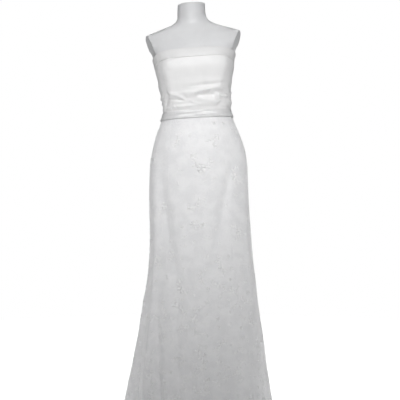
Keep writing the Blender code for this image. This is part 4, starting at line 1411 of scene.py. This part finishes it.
class MotifMesh:
    """Embroidered strokes, or beads, that lie flat round one centre."""

    STROKE = np.array([(-1.0, 0.0), (-0.62, 0.72), (0.0, 1.0), (0.62, 0.72), (1.0, 0.0)])
    BEAD = np.array([(0.78, 0.0), (1.0, 0.62), (0.72, 1.22)])
    BEAD_SIDES = 6
    BEAD_TOP = 1.45
    BROAD = 1.45
    STEM_TAPER = 0.55
    PETAL_SWELL = np.array([0.22, 0.62, 0.92, 1.0, 0.72, 0.16])
    PETAL_DOME = 0.40
    PETAL_HIGHEST = 0.0009
    FLOWER_MIDDLE = 0.20
    FLOWER_PETAL = 0.80
    FLOWER_FULLNESS = 1.45
    FLOWER_TWIST = 9.0
    FLOWER_CURL = 22.0

    def __init__(self) -> None:
        """Starts with nothing."""
        self.points: list[Array] = []
        self.lie: list[Array] = []
        self.faces: list[tuple[int, ...]] = []
        self.count = 0

    def _add(self, points: Array, lie: Array, faces: Sequence[Sequence[int]]) -> None:
        """Adds points, how the thread lies at them, and faces between them."""
        self.points.append(points)
        self.lie.append(lie)
        self.faces += [tuple(int(corner) + self.count for corner in face) for face in faces]
        self.count += len(points)

    def stroke(self, path: Array, half_widths: Array, rise: float) -> None:
        """Adds a domed stroke of stitches.

        Args:
            path: its middle line.
            half_widths: half its width at each point.
            rise: how high it is where it's widest.
        """
        ahead = np.gradient(path, axis=0)
        ahead /= np.linalg.norm(ahead, axis=1, keepdims=True)
        aside = np.stack([-ahead[:, 1], ahead[:, 0]], axis=1)
        far = np.concatenate([[0.0], np.cumsum(np.linalg.norm(np.diff(path, axis=0), axis=1))])
        stations, ring = len(path), len(self.STROKE)
        wide = half_widths[:, None] * self.STROKE[:, 0]
        flat = path[:, None, :] + aside[:, None, :] * wide[..., None]
        high = rise * (half_widths / half_widths.max())[:, None] ** 0.5 * self.STROKE[:, 1]
        points = np.concatenate([flat, high[..., None]], axis=2).reshape(-1, 3)
        lie = np.stack([wide, np.broadcast_to(far[:, None], wide.shape)], axis=2).reshape(-1, 2)
        faces = []
        for n in range(stations - 1):
            for k in range(ring):
                here, there = n * ring + k, n * ring + (k + 1) % ring
                faces.append((here, here + ring, there + ring, there))
        faces.append(tuple(range(ring)))
        faces.append(tuple(range((stations - 1) * ring, stations * ring))[::-1])
        self._add(points, lie, faces)

    def stem(self, path: Array, half_width: float, rise: float) -> None:
        """Adds a cord that thins out to its end."""
        share = np.linspace(0.0, 1.0, len(path))
        self.stroke(path, self.BROAD * half_width * (1.0 - self.STEM_TAPER * share), rise)

    def petal(self, start: Sequence[float], heading: float, length: float, half_width: float, curl: float) -> None:
        """Adds a petal or leaf.

        Args:
            start: its foot.
            heading: the way it points, in degrees.
            length: how long it is.
            half_width: half its width at its widest.
            curl: how far it bends, in degrees.
        """
        path = curl_path(start, heading, length, curl, len(self.PETAL_SWELL))
        rise = min(self.PETAL_HIGHEST, half_width * self.PETAL_DOME)
        self.stroke(path, self.BROAD * half_width * self.PETAL_SWELL, rise)

    def flower(self, middle: Sequence[float], radius: float, petals: int, turn: float) -> None:
        """Adds a flower of petals round an open middle."""
        for n in range(petals):
            heading = turn + 360.0 * n / petals
            way = np.array([math.cos(math.radians(heading)), math.sin(math.radians(heading))])
            foot = np.asarray(middle) + self.FLOWER_MIDDLE * radius * way
            half_width = radius * self.FLOWER_FULLNESS / petals
            self.petal(foot, heading - self.FLOWER_TWIST, self.FLOWER_PETAL * radius, half_width, self.FLOWER_CURL)

    def bead(self, middle: Sequence[float], radius: float) -> None:
        """Adds a bead."""
        turn = np.linspace(0.0, 2 * math.pi, self.BEAD_SIDES, endpoint=False)
        round_ = np.stack([np.cos(turn), np.sin(turn)], axis=1)
        rings = []
        for wide, high in self.BEAD * radius:
            rings.append(np.column_stack([np.asarray(middle) + round_ * wide, np.full(self.BEAD_SIDES, high)]))
        top = np.array([[*middle, self.BEAD_TOP * radius]])
        points = np.concatenate([*rings, top])
        sides, faces = self.BEAD_SIDES, [tuple(range(self.BEAD_SIDES))[::-1]]
        for j in range(2):
            for i in range(sides):
                here, there = j * sides + i, j * sides + (i + 1) % sides
                faces.append((here, there, there + sides, here + sides))
        faces += [(2 * sides + i, 2 * sides + (i + 1) % sides, 3 * sides) for i in range(sides)]
        self._add(points, np.zeros((len(points), 2)), faces)

    def made(self, name: str, home: bpy.types.Collection) -> Any:
        """The motif as an object in a collection."""
        made = mesh_piece(name, np.concatenate(self.points), self.faces, None)
        add_map(made, "thread", np.concatenate(self.lie))
        bpy.context.scene.collection.objects.unlink(made)
        home.objects.link(made)
        return made


def spray_rose() -> tuple[MotifMesh, MotifMesh]:
    """An open flower between two curling stems with leaves and buds, and its beads."""
    thread, beads = MotifMesh(), MotifMesh()
    thread.flower((0.0, 0.0), 0.0155, 5, 20.0)
    beads.bead((0.0, 0.0), 0.0013)
    for n in range(4):
        turn = math.radians(35.0 + 90.0 * n)
        beads.bead((0.0026 * math.cos(turn), 0.0026 * math.sin(turn)), 0.0008)
    for heading, length, curl in ((200.0, 0.046, 215.0), (-32.0, 0.040, -190.0)):
        way = math.radians(heading)
        path = curl_path((0.013 * math.cos(way), 0.013 * math.sin(way)), heading, length, curl, 13)
        thread.stem(path, 0.0012, 0.0010)
        side = 1.0 if curl > 0 else -1.0
        for station, lean, size in ((2, -58.0, 0.0125), (4, 52.0, 0.0095), (6, -50.0, 0.0095)):
            here = heading_at(path, station)
            thread.petal(path[station], here + side * lean, size, size * 0.24, -side * lean * 0.5)
        beads.bead(path[-1], 0.0012)
        thread.petal(path[-3], heading + 10.0, 0.0085, 0.0020, 30.0)
    return thread, beads


def spray_scroll() -> tuple[MotifMesh, MotifMesh]:
    """A long double curl with leaves in turn along it, and its beads."""
    thread, beads = MotifMesh(), MotifMesh()
    for heading, curl in ((78.0, -235.0), (258.0, -215.0)):
        path = curl_path((0.0, 0.0), heading, 0.056, curl, 14)
        thread.stem(path, 0.0013, 0.0011)
        for n, station in enumerate((2, 4, 6, 8)):
            lean = 55.0 if n % 2 else -55.0
            size = 0.0125 - 0.0014 * n
            thread.petal(path[station], heading_at(path, station) + lean, size, size * 0.23, -0.6 * lean)
        beads.bead(path[-1], 0.0013)
        beads.bead(path[9] + 0.5 * (path[-1] - path[9]), 0.0008)
    thread.petal((0.001, 0.001), 165.0, 0.012, 0.0029, 30.0)
    beads.bead((0.0035, -0.0010), 0.0010)
    return thread, beads


def spray_pair() -> tuple[MotifMesh, MotifMesh]:
    """Two facing curls under a small flower, and its beads."""
    thread, beads = MotifMesh(), MotifMesh()
    thread.flower((0.0, 0.016), 0.0110, 6, 0.0)
    beads.bead((0.0, 0.016), 0.0012)
    for side in (-1.0, 1.0):
        path = curl_path((side * 0.0012, -0.020), 90.0 - side * 28.0, 0.050, side * 250.0, 13)
        thread.stem(path, 0.0012, 0.0010)
        thread.petal(path[3], 90.0 - side * 72.0, 0.0110, 0.0026, side * 36.0)
        thread.petal(path[1], 90.0 - side * 100.0, 0.0120, 0.0027, side * 40.0)
        thread.petal((side * 0.002, -0.020), -90.0 + side * 30.0, 0.0100, 0.0024, side * 30.0)
        beads.bead(path[-1], 0.0011)
        beads.bead((side * 0.0085, -0.010), 0.0008)
    return thread, beads


def spray_branch() -> tuple[MotifMesh, MotifMesh]:
    """A bowed branch with five leaves and an open bud at its tip, and its beads."""
    thread, beads = MotifMesh(), MotifMesh()
    path = curl_path((-0.030, -0.012), 48.0, 0.062, -85.0, 13)
    thread.stem(path, 0.0013, 0.0010)
    for n, station in enumerate((1, 3, 5, 7, 9)):
        lean = 50.0 if n % 2 else -50.0
        size = 0.0150 - 0.0012 * n
        thread.petal(path[station], heading_at(path, station) + lean, size, size * 0.22, -0.5 * lean)
    for lean in (-38.0, 0.0, 38.0):
        thread.petal(path[-1], -37.0 + lean, 0.0100, 0.0022, 0.4 * lean)
    beads.bead(path[-1] + np.array([0.0125, -0.0090]), 0.0012)
    beads.bead(path[4] + np.array([0.0, -0.0065]), 0.0009)
    beads.bead(path[8] + np.array([0.001, 0.0070]), 0.0008)
    return thread, beads


def sprig_leaves() -> tuple[MotifMesh, MotifMesh]:
    """A small curl with three leaves, and its bead."""
    thread, beads = MotifMesh(), MotifMesh()
    path = curl_path((-0.008, -0.004), 30.0, 0.022, 130.0, 8)
    thread.stem(path, 0.0010, 0.0008)
    for heading in (-70.0, 10.0, 95.0):
        thread.petal(path[2], heading, 0.0085, 0.0020, 25.0)
    beads.bead(path[-1], 0.0011)
    return thread, beads


def sprig_flower() -> tuple[MotifMesh, MotifMesh]:
    """A small flower, and its bead."""
    thread, beads = MotifMesh(), MotifMesh()
    thread.flower((0.0, 0.0), 0.0072, 5, 0.0)
    beads.bead((0.0, 0.0), 0.0012)
    return thread, beads


class Embroidery:
    """Sprays and small sprigs in thread and beads, strewn over the skirt's panels."""

    SPRAYS = (spray_rose, spray_scroll, spray_pair, spray_branch)
    SPRIGS = (sprig_leaves, sprig_flower)
    SPRAY_SPACING = (0.072, 0.065)
    SPRIG_SPACING = (0.042, 0.038)
    MARGIN = 1.1
    JITTER = 0.16
    SMALLEST = 0.78
    LARGEST = 1.12

    def __init__(self) -> None:
        """Makes the motifs and the tree that strews them."""
        self.tree = scatter_tree()
        self.spray_thread, self.spray_beads = self._motifs("spray", self.SPRAYS)
        self.sprig_thread, self.sprig_beads = self._motifs("sprig", self.SPRIGS)

    @staticmethod
    def _motifs(name: str, makers: Sequence[Callable[[], tuple[MotifMesh, MotifMesh]]]) -> list[Any]:
        """Two collections, of the motifs' threads and of their beads, in the same order."""
        homes = [bpy.data.collections.new(f"{name}_{kind}") for kind in ("thread", "beads")]
        for home in homes:
            bpy.context.scene.collection.children.link(home)
        for number, maker in enumerate(makers):
            for home, motif in zip(homes, maker()):
                motif.made(f"{home.name}_{number}", home)
        return homes

    def laid(self, panel: Panel, name: str, finishes: Sequence[Any], small: bool, top: float, seed: int) -> list[Any]:
        """Strews one kind of motif over a panel.

        Args:
            panel: the panel.
            name: what the new pieces are called.
            finishes: the thread's and the beads' materials.
            small: whether the small sprigs are strewn.
            top: the share of the motifs that is kept at the panel's top.
            seed: the random seed.

        Returns:
            The thread piece and the bead piece.
        """
        face = panel.open_face()
        width, length = panel.lengths()
        across, up = self.SPRIG_SPACING if small else self.SPRAY_SPACING
        covered = width * self.MARGIN
        homes = (self.sprig_thread, self.sprig_beads) if small else (self.spray_thread, self.spray_beads)
        made = [
            self.tree.grown(
                f"{name}_{kind}", Face=face, Motifs=home, Finish=finish, Width=covered, Length=length,
                Columns=round(covered / across) + 1, Rows=round(length / up) + 1, Jitter=across * self.JITTER,
                Smallest=self.SMALLEST, Largest=self.LARGEST, Top=top, Seed=seed,
            )
            for home, kind, finish in zip(homes, ("thread", "beads"), finishes)
        ]
        removed(face)
        return made

    def cleared(self) -> None:
        """Removes the motifs."""
        for home in (self.spray_thread, self.spray_beads, self.sprig_thread, self.sprig_beads):
            removed(*home.objects)
            bpy.data.collections.remove(home)


class Stitching:
    """Rows of stitches along lines on the cloth."""

    LONG = 0.0017
    THICK = 0.00045
    PITCH = 0.0026

    def __init__(self, finish: bpy.types.Material) -> None:
        """Makes the tree.

        Args:
            finish: the thread's material.
        """
        self.tree = stitch_tree()
        self.finish = finish

    def sewn(self, name: str, points: Array) -> Any:
        """A row of stitches.

        Args:
            name: the piece's name.
            points: the line's points in order.

        Returns:
            The piece.
        """
        mesh = bpy.data.meshes.new(name + "_line")
        mesh.from_pydata(points.tolist(), [(n, n + 1) for n in range(len(points) - 1)], [])
        line = placed(name + "_line", mesh)
        piece = self.tree.grown(
            name, Line=line, Finish=self.finish, Pitch=self.PITCH, Long=self.LONG, Thick=self.THICK
        )
        removed(line)
        return piece


# ---------------------------------------------------------------- the dress


class Bodice:
    """The strapless bodice: seven panels of crumpled satin."""

    CENTRE_BACK = Cut(0.072, 0.166, 0.0098)
    SIDE_BACK = Cut(0.119, 0.175, 0.0200)
    SIDE_FRONT = Cut(0.111, 0.184, 0.0189)
    CENTRE_FRONT = Cut(0.242, 0.206, 0.0427)
    PANELS = (
        ("bodice_centre_back_left", SeamLine.START, SeamLine.BACK_LEFT, CENTRE_BACK),
        ("bodice_side_back_left", SeamLine.BACK_LEFT, SeamLine.SIDE_LEFT, SIDE_BACK),
        ("bodice_side_front_left", SeamLine.SIDE_LEFT, SeamLine.FRONT_LEFT, SIDE_FRONT),
        ("bodice_centre_front", SeamLine.FRONT_LEFT, SeamLine.FRONT_RIGHT, CENTRE_FRONT),
        ("bodice_side_front_right", SeamLine.FRONT_RIGHT, SeamLine.SIDE_RIGHT, SIDE_FRONT),
        ("bodice_side_back_right", SeamLine.SIDE_RIGHT, SeamLine.BACK_RIGHT, SIDE_BACK),
        ("bodice_centre_back_right", SeamLine.BACK_RIGHT, SeamLine.END, CENTRE_BACK),
    )

    def build(self, finish: bpy.types.Material) -> None:
        """Builds the panels."""
        for name, left, right, cut in self.PANELS:
            panel = Panel(name, left, right, level_at(WAIST_SEAM), band_seam, BODICE_FACE, cut, cell=0.0034, row=0.0015)
            piece = settled(panel.shell(finish), Body.STAND, Slot.BODICE, name)


class NeckBand:
    """The folded band along the neckline: a front and two backs, whose upper edges stand off a little."""

    FRONT = Cut(0.452, 0.034, 0.0150)
    BACK = Cut(0.198, 0.033, 0.0065)
    PANELS = (
        ("neck_band_back_left", SeamLine.START, SeamLine.SIDE_LEFT, BACK),
        ("neck_band_front", SeamLine.SIDE_LEFT, SeamLine.SIDE_RIGHT, FRONT),
        ("neck_band_back_right", SeamLine.SIDE_RIGHT, SeamLine.END, BACK),
    )

    def build(self, finish: bpy.types.Material) -> None:
        """Builds the pieces."""
        for name, left, right, cut in self.PANELS:
            panel = Panel(
                name, left, right, band_seam, neckline, BODICE_FACE, cut, proud=0.0008, wall=0.0018, cell=0.0030,
                row=0.0015, puff=0.0006, lean=0.0032,
            )
            piece = settled(panel.shell(finish), Body.STAND, Slot.BODICE, name)


class Skirt:
    """The embroidered skirt: seven gores that carry the bodice's seams on and flare to the hem."""

    CENTRE_BACK = Cut(0.268, 1.092, 0.1865)
    SIDE_BACK = Cut(0.177, 1.090, 0.1415)
    SIDE_FRONT = Cut(0.220, 1.085, 0.1710)
    CENTRE_FRONT = Cut(0.497, 1.087, 0.3090)
    PANELS = (
        ("skirt_centre_back_left", SeamLine.START, SeamLine.BACK_LEFT, CENTRE_BACK, 11),
        ("skirt_side_back_left", SeamLine.BACK_LEFT, SeamLine.SIDE_LEFT, SIDE_BACK, 17),
        ("skirt_side_front_left", SeamLine.SIDE_LEFT, SeamLine.FRONT_LEFT, SIDE_FRONT, 19),
        ("skirt_centre_front", SeamLine.FRONT_LEFT, SeamLine.FRONT_RIGHT, CENTRE_FRONT, 43),
        ("skirt_side_front_right", SeamLine.FRONT_RIGHT, SeamLine.SIDE_RIGHT, SIDE_FRONT, 29),
        ("skirt_side_back_right", SeamLine.SIDE_RIGHT, SeamLine.BACK_RIGHT, SIDE_BACK, 31),
        ("skirt_centre_back_right", SeamLine.BACK_RIGHT, SeamLine.END, CENTRE_BACK, 37),
    )
    SPRAYS_AT_TOP = 0.15
    SPRIGS_AT_TOP = 0.12
    SPRIG_SEED = 5
    HEM_STITCHES = 0.022

    def build(self, finish: bpy.types.Material, motifs: Embroidery, finishes: Sequence[Any], sewing: Stitching) -> None:
        """Builds the panels with what is sewn to them.

        Args:
            finish: the satin.
            motifs: the embroidery.
            finishes: the materials of its thread and beads.
            sewing: the stitches.
        """
        for name, left, right, cut, seed in self.PANELS:
            panel = Panel(
                name, left, right, level_at(HEM_HEIGHT), level_at(WAIST_SEAM), SKIRT_FACE, cut, wall=0.0010,
                cell=0.0060, row=0.0075,
            )
            cloth = settled(panel.shell(finish), Body.STAND, Slot.SKIRT, name)
            extras = motifs.laid(panel, name + "_spray", finishes, False, self.SPRAYS_AT_TOP, seed)
            extras += motifs.laid(panel, name + "_sprig", finishes, True, self.SPRIGS_AT_TOP, seed + self.SPRIG_SEED)
            extras.append(sewing.sewn(name + "_hem_stitches", panel.line(self.HEM_STITCHES)))
            for piece in extras:
                settled(piece, Body.STAND, Slot.SKIRT)


class WaistRibbon:
    """The satin ribbon over the waist seam, stitched down along both edges."""

    CUT = Cut(0.720, 0.0268, 0.0192)
    STITCH_INSET = 0.0022

    def build(self, finish: bpy.types.Material, sewing: Stitching) -> None:
        """Builds the ribbon and its stitches."""
        panel = Panel(
            "waist_ribbon", SeamLine.START, SeamLine.END, level_at(RIBBON_LOW), level_at(RIBBON_HIGH), WAIST_FACE,
            self.CUT, proud=0.0013, wall=0.0009, cell=0.0030, row=0.0011, puff=0.0005, lean=-0.0020,
        )
        cloth = settled(panel.shell(finish), Body.STAND, Slot.RIBBON, "waist_ribbon")
        for name, level in (("low", self.STITCH_INSET), ("high", self.CUT.length - self.STITCH_INSET)):
            row = sewing.sewn(f"ribbon_{name}_stitches", panel.line(level))
            settled(row, Body.STAND, Slot.RIBBON)


class BackZip:
    """The concealed zip's slider and pull tab at the centre back."""

    BEVEL = 0.00018
    WELD = 0.00001
    FLAT_ANGLE = math.radians(1.0)
    EDGE_ANGLE = math.radians(35.0)

    def build(self, finish: bpy.types.Material) -> None:
        """Rounds copies of the two solids."""
        for node, body in (("zip_slider", Body.STAND), ("zip_pull", Body.PULL)):
            shape = bmesh.new()
            shape.from_mesh(frame["nodes"][node].data)
            bmesh.ops.remove_doubles(shape, verts=shape.verts, dist=self.WELD)
            bmesh.ops.dissolve_limit(shape, angle_limit=self.FLAT_ANGLE, verts=shape.verts, edges=shape.edges)
            edges = [edge for edge in shape.edges if edge.is_manifold and edge.calc_face_angle() > self.EDGE_ANGLE]
            bmesh.ops.bevel(
                shape, geom=edges, offset=self.BEVEL, segments=2, profile=0.5, affect="EDGES", clamp_overlap=True
            )
            mesh = bpy.data.meshes.new(node + "_rounded")
            shape.to_mesh(mesh)
            shape.free()
            mesh.shade_smooth()
            mesh.materials.clear()
            mesh.materials.append(finish)
            settled(placed(node + "_rounded", mesh), body, Slot.ZIP, node)


# ---------------------------------------------------------------- form, stand and studio


@dataclass(frozen=True)
class DressForm:
    """The limbless form: a torso with a flat-topped neck and flat plates in place of arms."""

    step: float = 0.004
    columns: int = 168
    neck_edge: float = 0.0022
    neck_turns: Sequence[float] = (22.5, 45.0, 67.5, 90.0)
    plate_low: Pair = (0.1452, 1.289)
    plate_tip: Pair = (0.1722, 1.372)
    plate_back: float = 0.030
    plate_turn: float = 9.0
    cutter: float = 0.20
    sharp: float = 28.0

    def rows(self) -> tuple[Array, Array]:
        """The rings' heights and how far each is moved out: even steps, then a rounded neck edge."""
        count = round((FORM_TOP - self.neck_edge - FORM_BOTTOM) / self.step)
        heights = np.linspace(FORM_BOTTOM, FORM_TOP - self.neck_edge, count + 1)
        turn = np.radians(self.neck_turns)
        rounded = FORM_TOP - self.neck_edge * (1 - np.sin(turn))
        inset = -self.neck_edge * (1 - np.cos(turn))
        return np.concatenate([heights, rounded]), np.concatenate([np.zeros(len(heights)), inset])

    def cutters(self, table: SmoothTable) -> list[Any]:
        """Blocks that cut the two arm plates.

        Args:
            table: the form's sections.

        Returns:
            The blocks.
        """
        made = []
        for side in (-1.0, 1.0):
            ends = []
            for half, height in (self.plate_low, self.plate_tip):
                row = table.at(np.array(height))
                lean = math.tan(math.radians(float(row["lean"])))
                ends.append(Vector((float(row["centre"]) + side * half, self.plate_back, height + side * half * lean)))
            up = (ends[1] - ends[0]).normalized()
            level = Vector((side * up.z, 0.0, -side * up.x))
            outward = Matrix.Rotation(math.radians(-side * self.plate_turn), 3, up) @ level
            turn = Matrix((outward, up.cross(outward), up)).transposed().to_4x4()
            middle = ends[0] + (up + outward) * self.cutter / 2
            bpy.ops.mesh.primitive_cube_add(size=self.cutter)
            block = bpy.context.object
            block.matrix_world = Matrix.Translation(middle) @ turn
            made.append(block)
        return made

    def build(self, finish: bpy.types.Material) -> None:
        """Builds the torso."""
        gown = [row for row in GOWN_SECTIONS if row.height >= WAIST_SEAM]
        shrunk = [
            replace(
                row, half_width=row.half_width - FORM_INSET, front=row.front - FORM_INSET, back=row.back - FORM_INSET
            )
            for row in gown
        ]
        surface = Surface((*FORM_HIP_SECTIONS, *shrunk, *FORM_SHOULDER_SECTIONS), cup_relief)
        heights, inset = self.rows()
        angle = np.linspace(-180.0, 180.0, self.columns, endpoint=False)
        rings = surface.points(angle[None, :], heights[:, None], inset[:, None])
        rows, around = rings.shape[:2]
        faces = grid_faces(rows, around, closed=True).tolist()
        points = [*rings.reshape(-1, 3), rings[0].mean(axis=0), rings[-1].mean(axis=0)]
        low, high = rows * around, rows * around + 1
        top = (rows - 1) * around
        for i in range(around):
            after = (i + 1) % around
            faces += [[after, i, low], [top + i, top + after, high]]
        torso = mesh_piece("form_torso_shell", points, faces, finish)
        blocks = self.cutters(surface.table)
        for block in blocks:
            cut = torso.modifiers.new("arm_plate", "BOOLEAN")
            cut.operation = "DIFFERENCE"
            cut.object = block
        depsgraph = bpy.context.evaluated_depsgraph_get()
        whole = bpy.data.meshes.new_from_object(torso.evaluated_get(depsgraph), depsgraph=depsgraph)
        torso.modifiers.clear()
        torso.data = whole
        whole.set_sharp_from_angle(angle=math.radians(self.sharp))
        removed(*blocks)
        settled(torso, Body.STAND, Slot.FORM, "form_torso")


@dataclass(frozen=True)
class Stand:
    """The round base with its collar, the pole and the socket under the form."""

    base_radius: float = 0.150
    base_thickness: float = 0.008
    collar_radius: float = 0.022
    collar_height: float = 0.038
    collar_floor: float = 0.005
    pole_radius: float = 0.0125
    gap: float = 0.0003
    flange_radius: float = 0.050
    flange_thickness: float = 0.006
    socket_length: float = 0.060
    socket_radius: float = 0.019
    socket_roof: float = 0.004
    fillet: float = 0.004
    bevel: float = 0.002
    sides: int = 96
    arc_points: int = 6
    sharp: float = 40.0

    def arc(self, middle: Pair, radius: float, start: float, end: float) -> list[Pair]:
        """Points of an arc in the profile, from one angle to another in degrees."""
        turns = np.radians(np.linspace(start, end, self.arc_points))
        return [(middle[0] + radius * math.cos(turn), middle[1] + radius * math.sin(turn)) for turn in turns]

    def turned(self, name: str, profile: Sequence[Pair], finish: bpy.types.Material) -> Any:
        """A turned piece from a closed profile that runs down its outer side.

        Args:
            name: the piece's name.
            profile: radii and heights, whose ends lie on the axis.
            finish: its material.

        Returns:
            The object.
        """
        turn = np.linspace(0.0, 2 * math.pi, self.sides, endpoint=False)
        points: list[Any] = [(0.0, 0.0, profile[0][1]), (0.0, 0.0, profile[-1][1])]
        for radius, height in profile[1:-1]:
            points += [(radius * math.cos(a), radius * math.sin(a), height) for a in turn]
        rings = len(profile) - 2
        faces: list[tuple[int, ...]] = []
        for i in range(self.sides):
            after = (i + 1) % self.sides
            faces.append((0, 2 + i, 2 + after))
            last = 2 + (rings - 1) * self.sides
            faces.append((1, last + after, last + i))
            for j in range(rings - 1):
                here, there = 2 + j * self.sides + i, 2 + j * self.sides + after
                faces.append((here, here + self.sides, there + self.sides, there))
        made = mesh_piece(name, points, faces, finish)
        made.data.set_sharp_from_angle(angle=math.radians(self.sharp))
        return made

    def build(self, finish: bpy.types.Material) -> None:
        """Builds the base, the socket and the pole."""
        bore = self.pole_radius + self.gap
        collar, top = self.collar_radius, self.collar_height
        base = self.turned(
            "stand_base_turned",
            [
                (0.0, self.collar_floor),
                (bore, self.collar_floor),
                (bore, top),
                *self.arc((collar - self.bevel, top - self.bevel), self.bevel, 90.0, 0.0),
                *self.arc((collar + self.fillet, self.base_thickness + self.fillet), self.fillet, 180.0, 270.0),
                *self.arc((self.base_radius - self.bevel, self.base_thickness - self.bevel), self.bevel, 90.0, 0.0),
                (self.base_radius, 0.0),
                (0.0, 0.0),
            ],
            finish,
        )
        settled(base, Body.STAND, Slot.STEEL, "stand_base")
        flange_top = FORM_BOTTOM - self.gap
        flange_low = flange_top - self.flange_thickness
        socket_low = flange_top - self.socket_length
        roof = flange_top - self.socket_roof
        socket = self.turned(
            "stand_socket_turned",
            [
                (0.0, flange_top),
                (self.flange_radius, flange_top),
                (self.flange_radius, flange_low),
                *self.arc((self.socket_radius + self.fillet, flange_low - self.fillet), self.fillet, 90.0, 180.0),
                (self.socket_radius, socket_low),
                (bore, socket_low),
                (bore, roof),
                (0.0, roof),
            ],
            finish,
        )
        settled(socket, Body.STAND, Slot.STEEL, "stand_socket")
        low, high = self.collar_floor + self.gap, roof - self.gap
        profile = [(0.0, high), (self.pole_radius, high), (self.pole_radius, low), (0.0, low)]
        settled(self.turned("stand_pole_turned", profile, finish), Body.STAND, Slot.STEEL, "stand_pole")


@dataclass(frozen=True)
class AreaLight:
    """A soft rectangular light."""

    name: str
    place: Triple
    aim: Triple
    size: Pair
    power: float
    spread: float = 180.0

    def build(self) -> None:
        """Adds the light, unseen by the camera."""
        light = bpy.data.lights.new(self.name, "AREA")
        light.shape = "RECTANGLE"
        light.size, light.size_y = self.size
        light.energy = self.power
        light.spread = math.radians(self.spread)
        made = placed(self.name, light)
        made.location = self.place
        made.rotation_euler = (Vector(self.aim) - Vector(self.place)).to_track_quat("-Z", "Y").to_euler()
        made.visible_camera = False


@dataclass(frozen=True)
class Studio:
    """A white studio with a pale floor, soft lights and the camera."""

    camera_place: Triple = (0.0061, -3.4, 0.78)
    lens: float = 85.0
    sensor: float = 36.0
    floor_radius: float = 3.0
    surround: float = 0.15
    floor_sides: int = 64
    lights: tuple[AreaLight, ...] = (
        AreaLight("key", (0.05, -1.80, 2.20), (0.0, 0.0, 0.99), (1.4, 0.6), 3.75, 54.0),
        AreaLight("front_fill", (0.10, -2.60, 1.45), (0.0, 0.0, 1.05), (0.7, 0.5), 0.4, 70.0),
        AreaLight("overhead", (0.0, 0.1, 2.6), (0.0, 0.0, 1.2), (1.4, 1.4), 3.2),
        AreaLight("back_fill", (0.1, 2.4, 1.9), (0.0, 0.0, 1.0), (1.4, 1.2), 11.0),
    )

    def build(self) -> None:
        """Builds the floor, the surround, the lights and the camera."""
        turn = np.linspace(0.0, 2 * math.pi, self.floor_sides, endpoint=False)
        rim = np.stack([self.floor_radius * np.cos(turn), self.floor_radius * np.sin(turn), 0 * turn], axis=1)
        floor = mesh_piece("studio_floor", rim, [range(self.floor_sides)], STUDIO_FLOOR.material())
        scene = bpy.context.scene
        scene.view_settings.view_transform = "Standard"
        world = bpy.data.worlds.new("studio")
        world.use_nodes = True
        scene.world = world
        tree = Tree(world.node_tree)
        world.node_tree.nodes.clear()
        seen = tree.out("ShaderNodeBackground", {"Color": (1.0, 1.0, 1.0, 1.0), "Strength": 1.0})
        felt = tree.out("ShaderNodeBackground", {"Color": (0.98, 0.99, 1.0, 1.0), "Strength": self.surround})
        share = tree.out("ShaderNodeLightPath", output="Is Camera Ray")
        mixed = tree.out("ShaderNodeMixShader", {0: share, 1: felt, 2: seen})
        tree.node("ShaderNodeOutputWorld", {"Surface": mixed})
        for light in self.lights:
            light.build()
        camera = bpy.data.cameras.new("camera")
        camera.lens = self.lens
        camera.sensor_width = self.sensor
        made = placed("camera", camera)
        made.location = self.camera_place
        made.rotation_euler = (math.pi / 2, 0.0, 0.0)
        scene.camera = made


def main() -> None:
    """Builds the dress, the form and the studio."""
    logging.basicConfig(level=logging.INFO, format="%(message)s")
    Stand().build(STAND_STEEL.material())
    DressForm().build(FORM_LACQUER.material())
    Bodice().build(BODICE_SATIN.material())
    NeckBand().build(SHADED_BAND_SATIN.material())
    sewing = Stitching(SEWING_THREAD.material())
    WaistRibbon().build(RIBBON_SATIN.material(), sewing)
    embroidery = Embroidery()
    Skirt().build(SKIRT_SATIN.material(), embroidery, (LACE_THREAD.material(), BEAD_PEARL.material()), sewing)
    embroidery.cleared()
    BackZip().build(ZIP_ENAMEL.material())
    Studio().build()


if __name__ == "__main__":
    main()
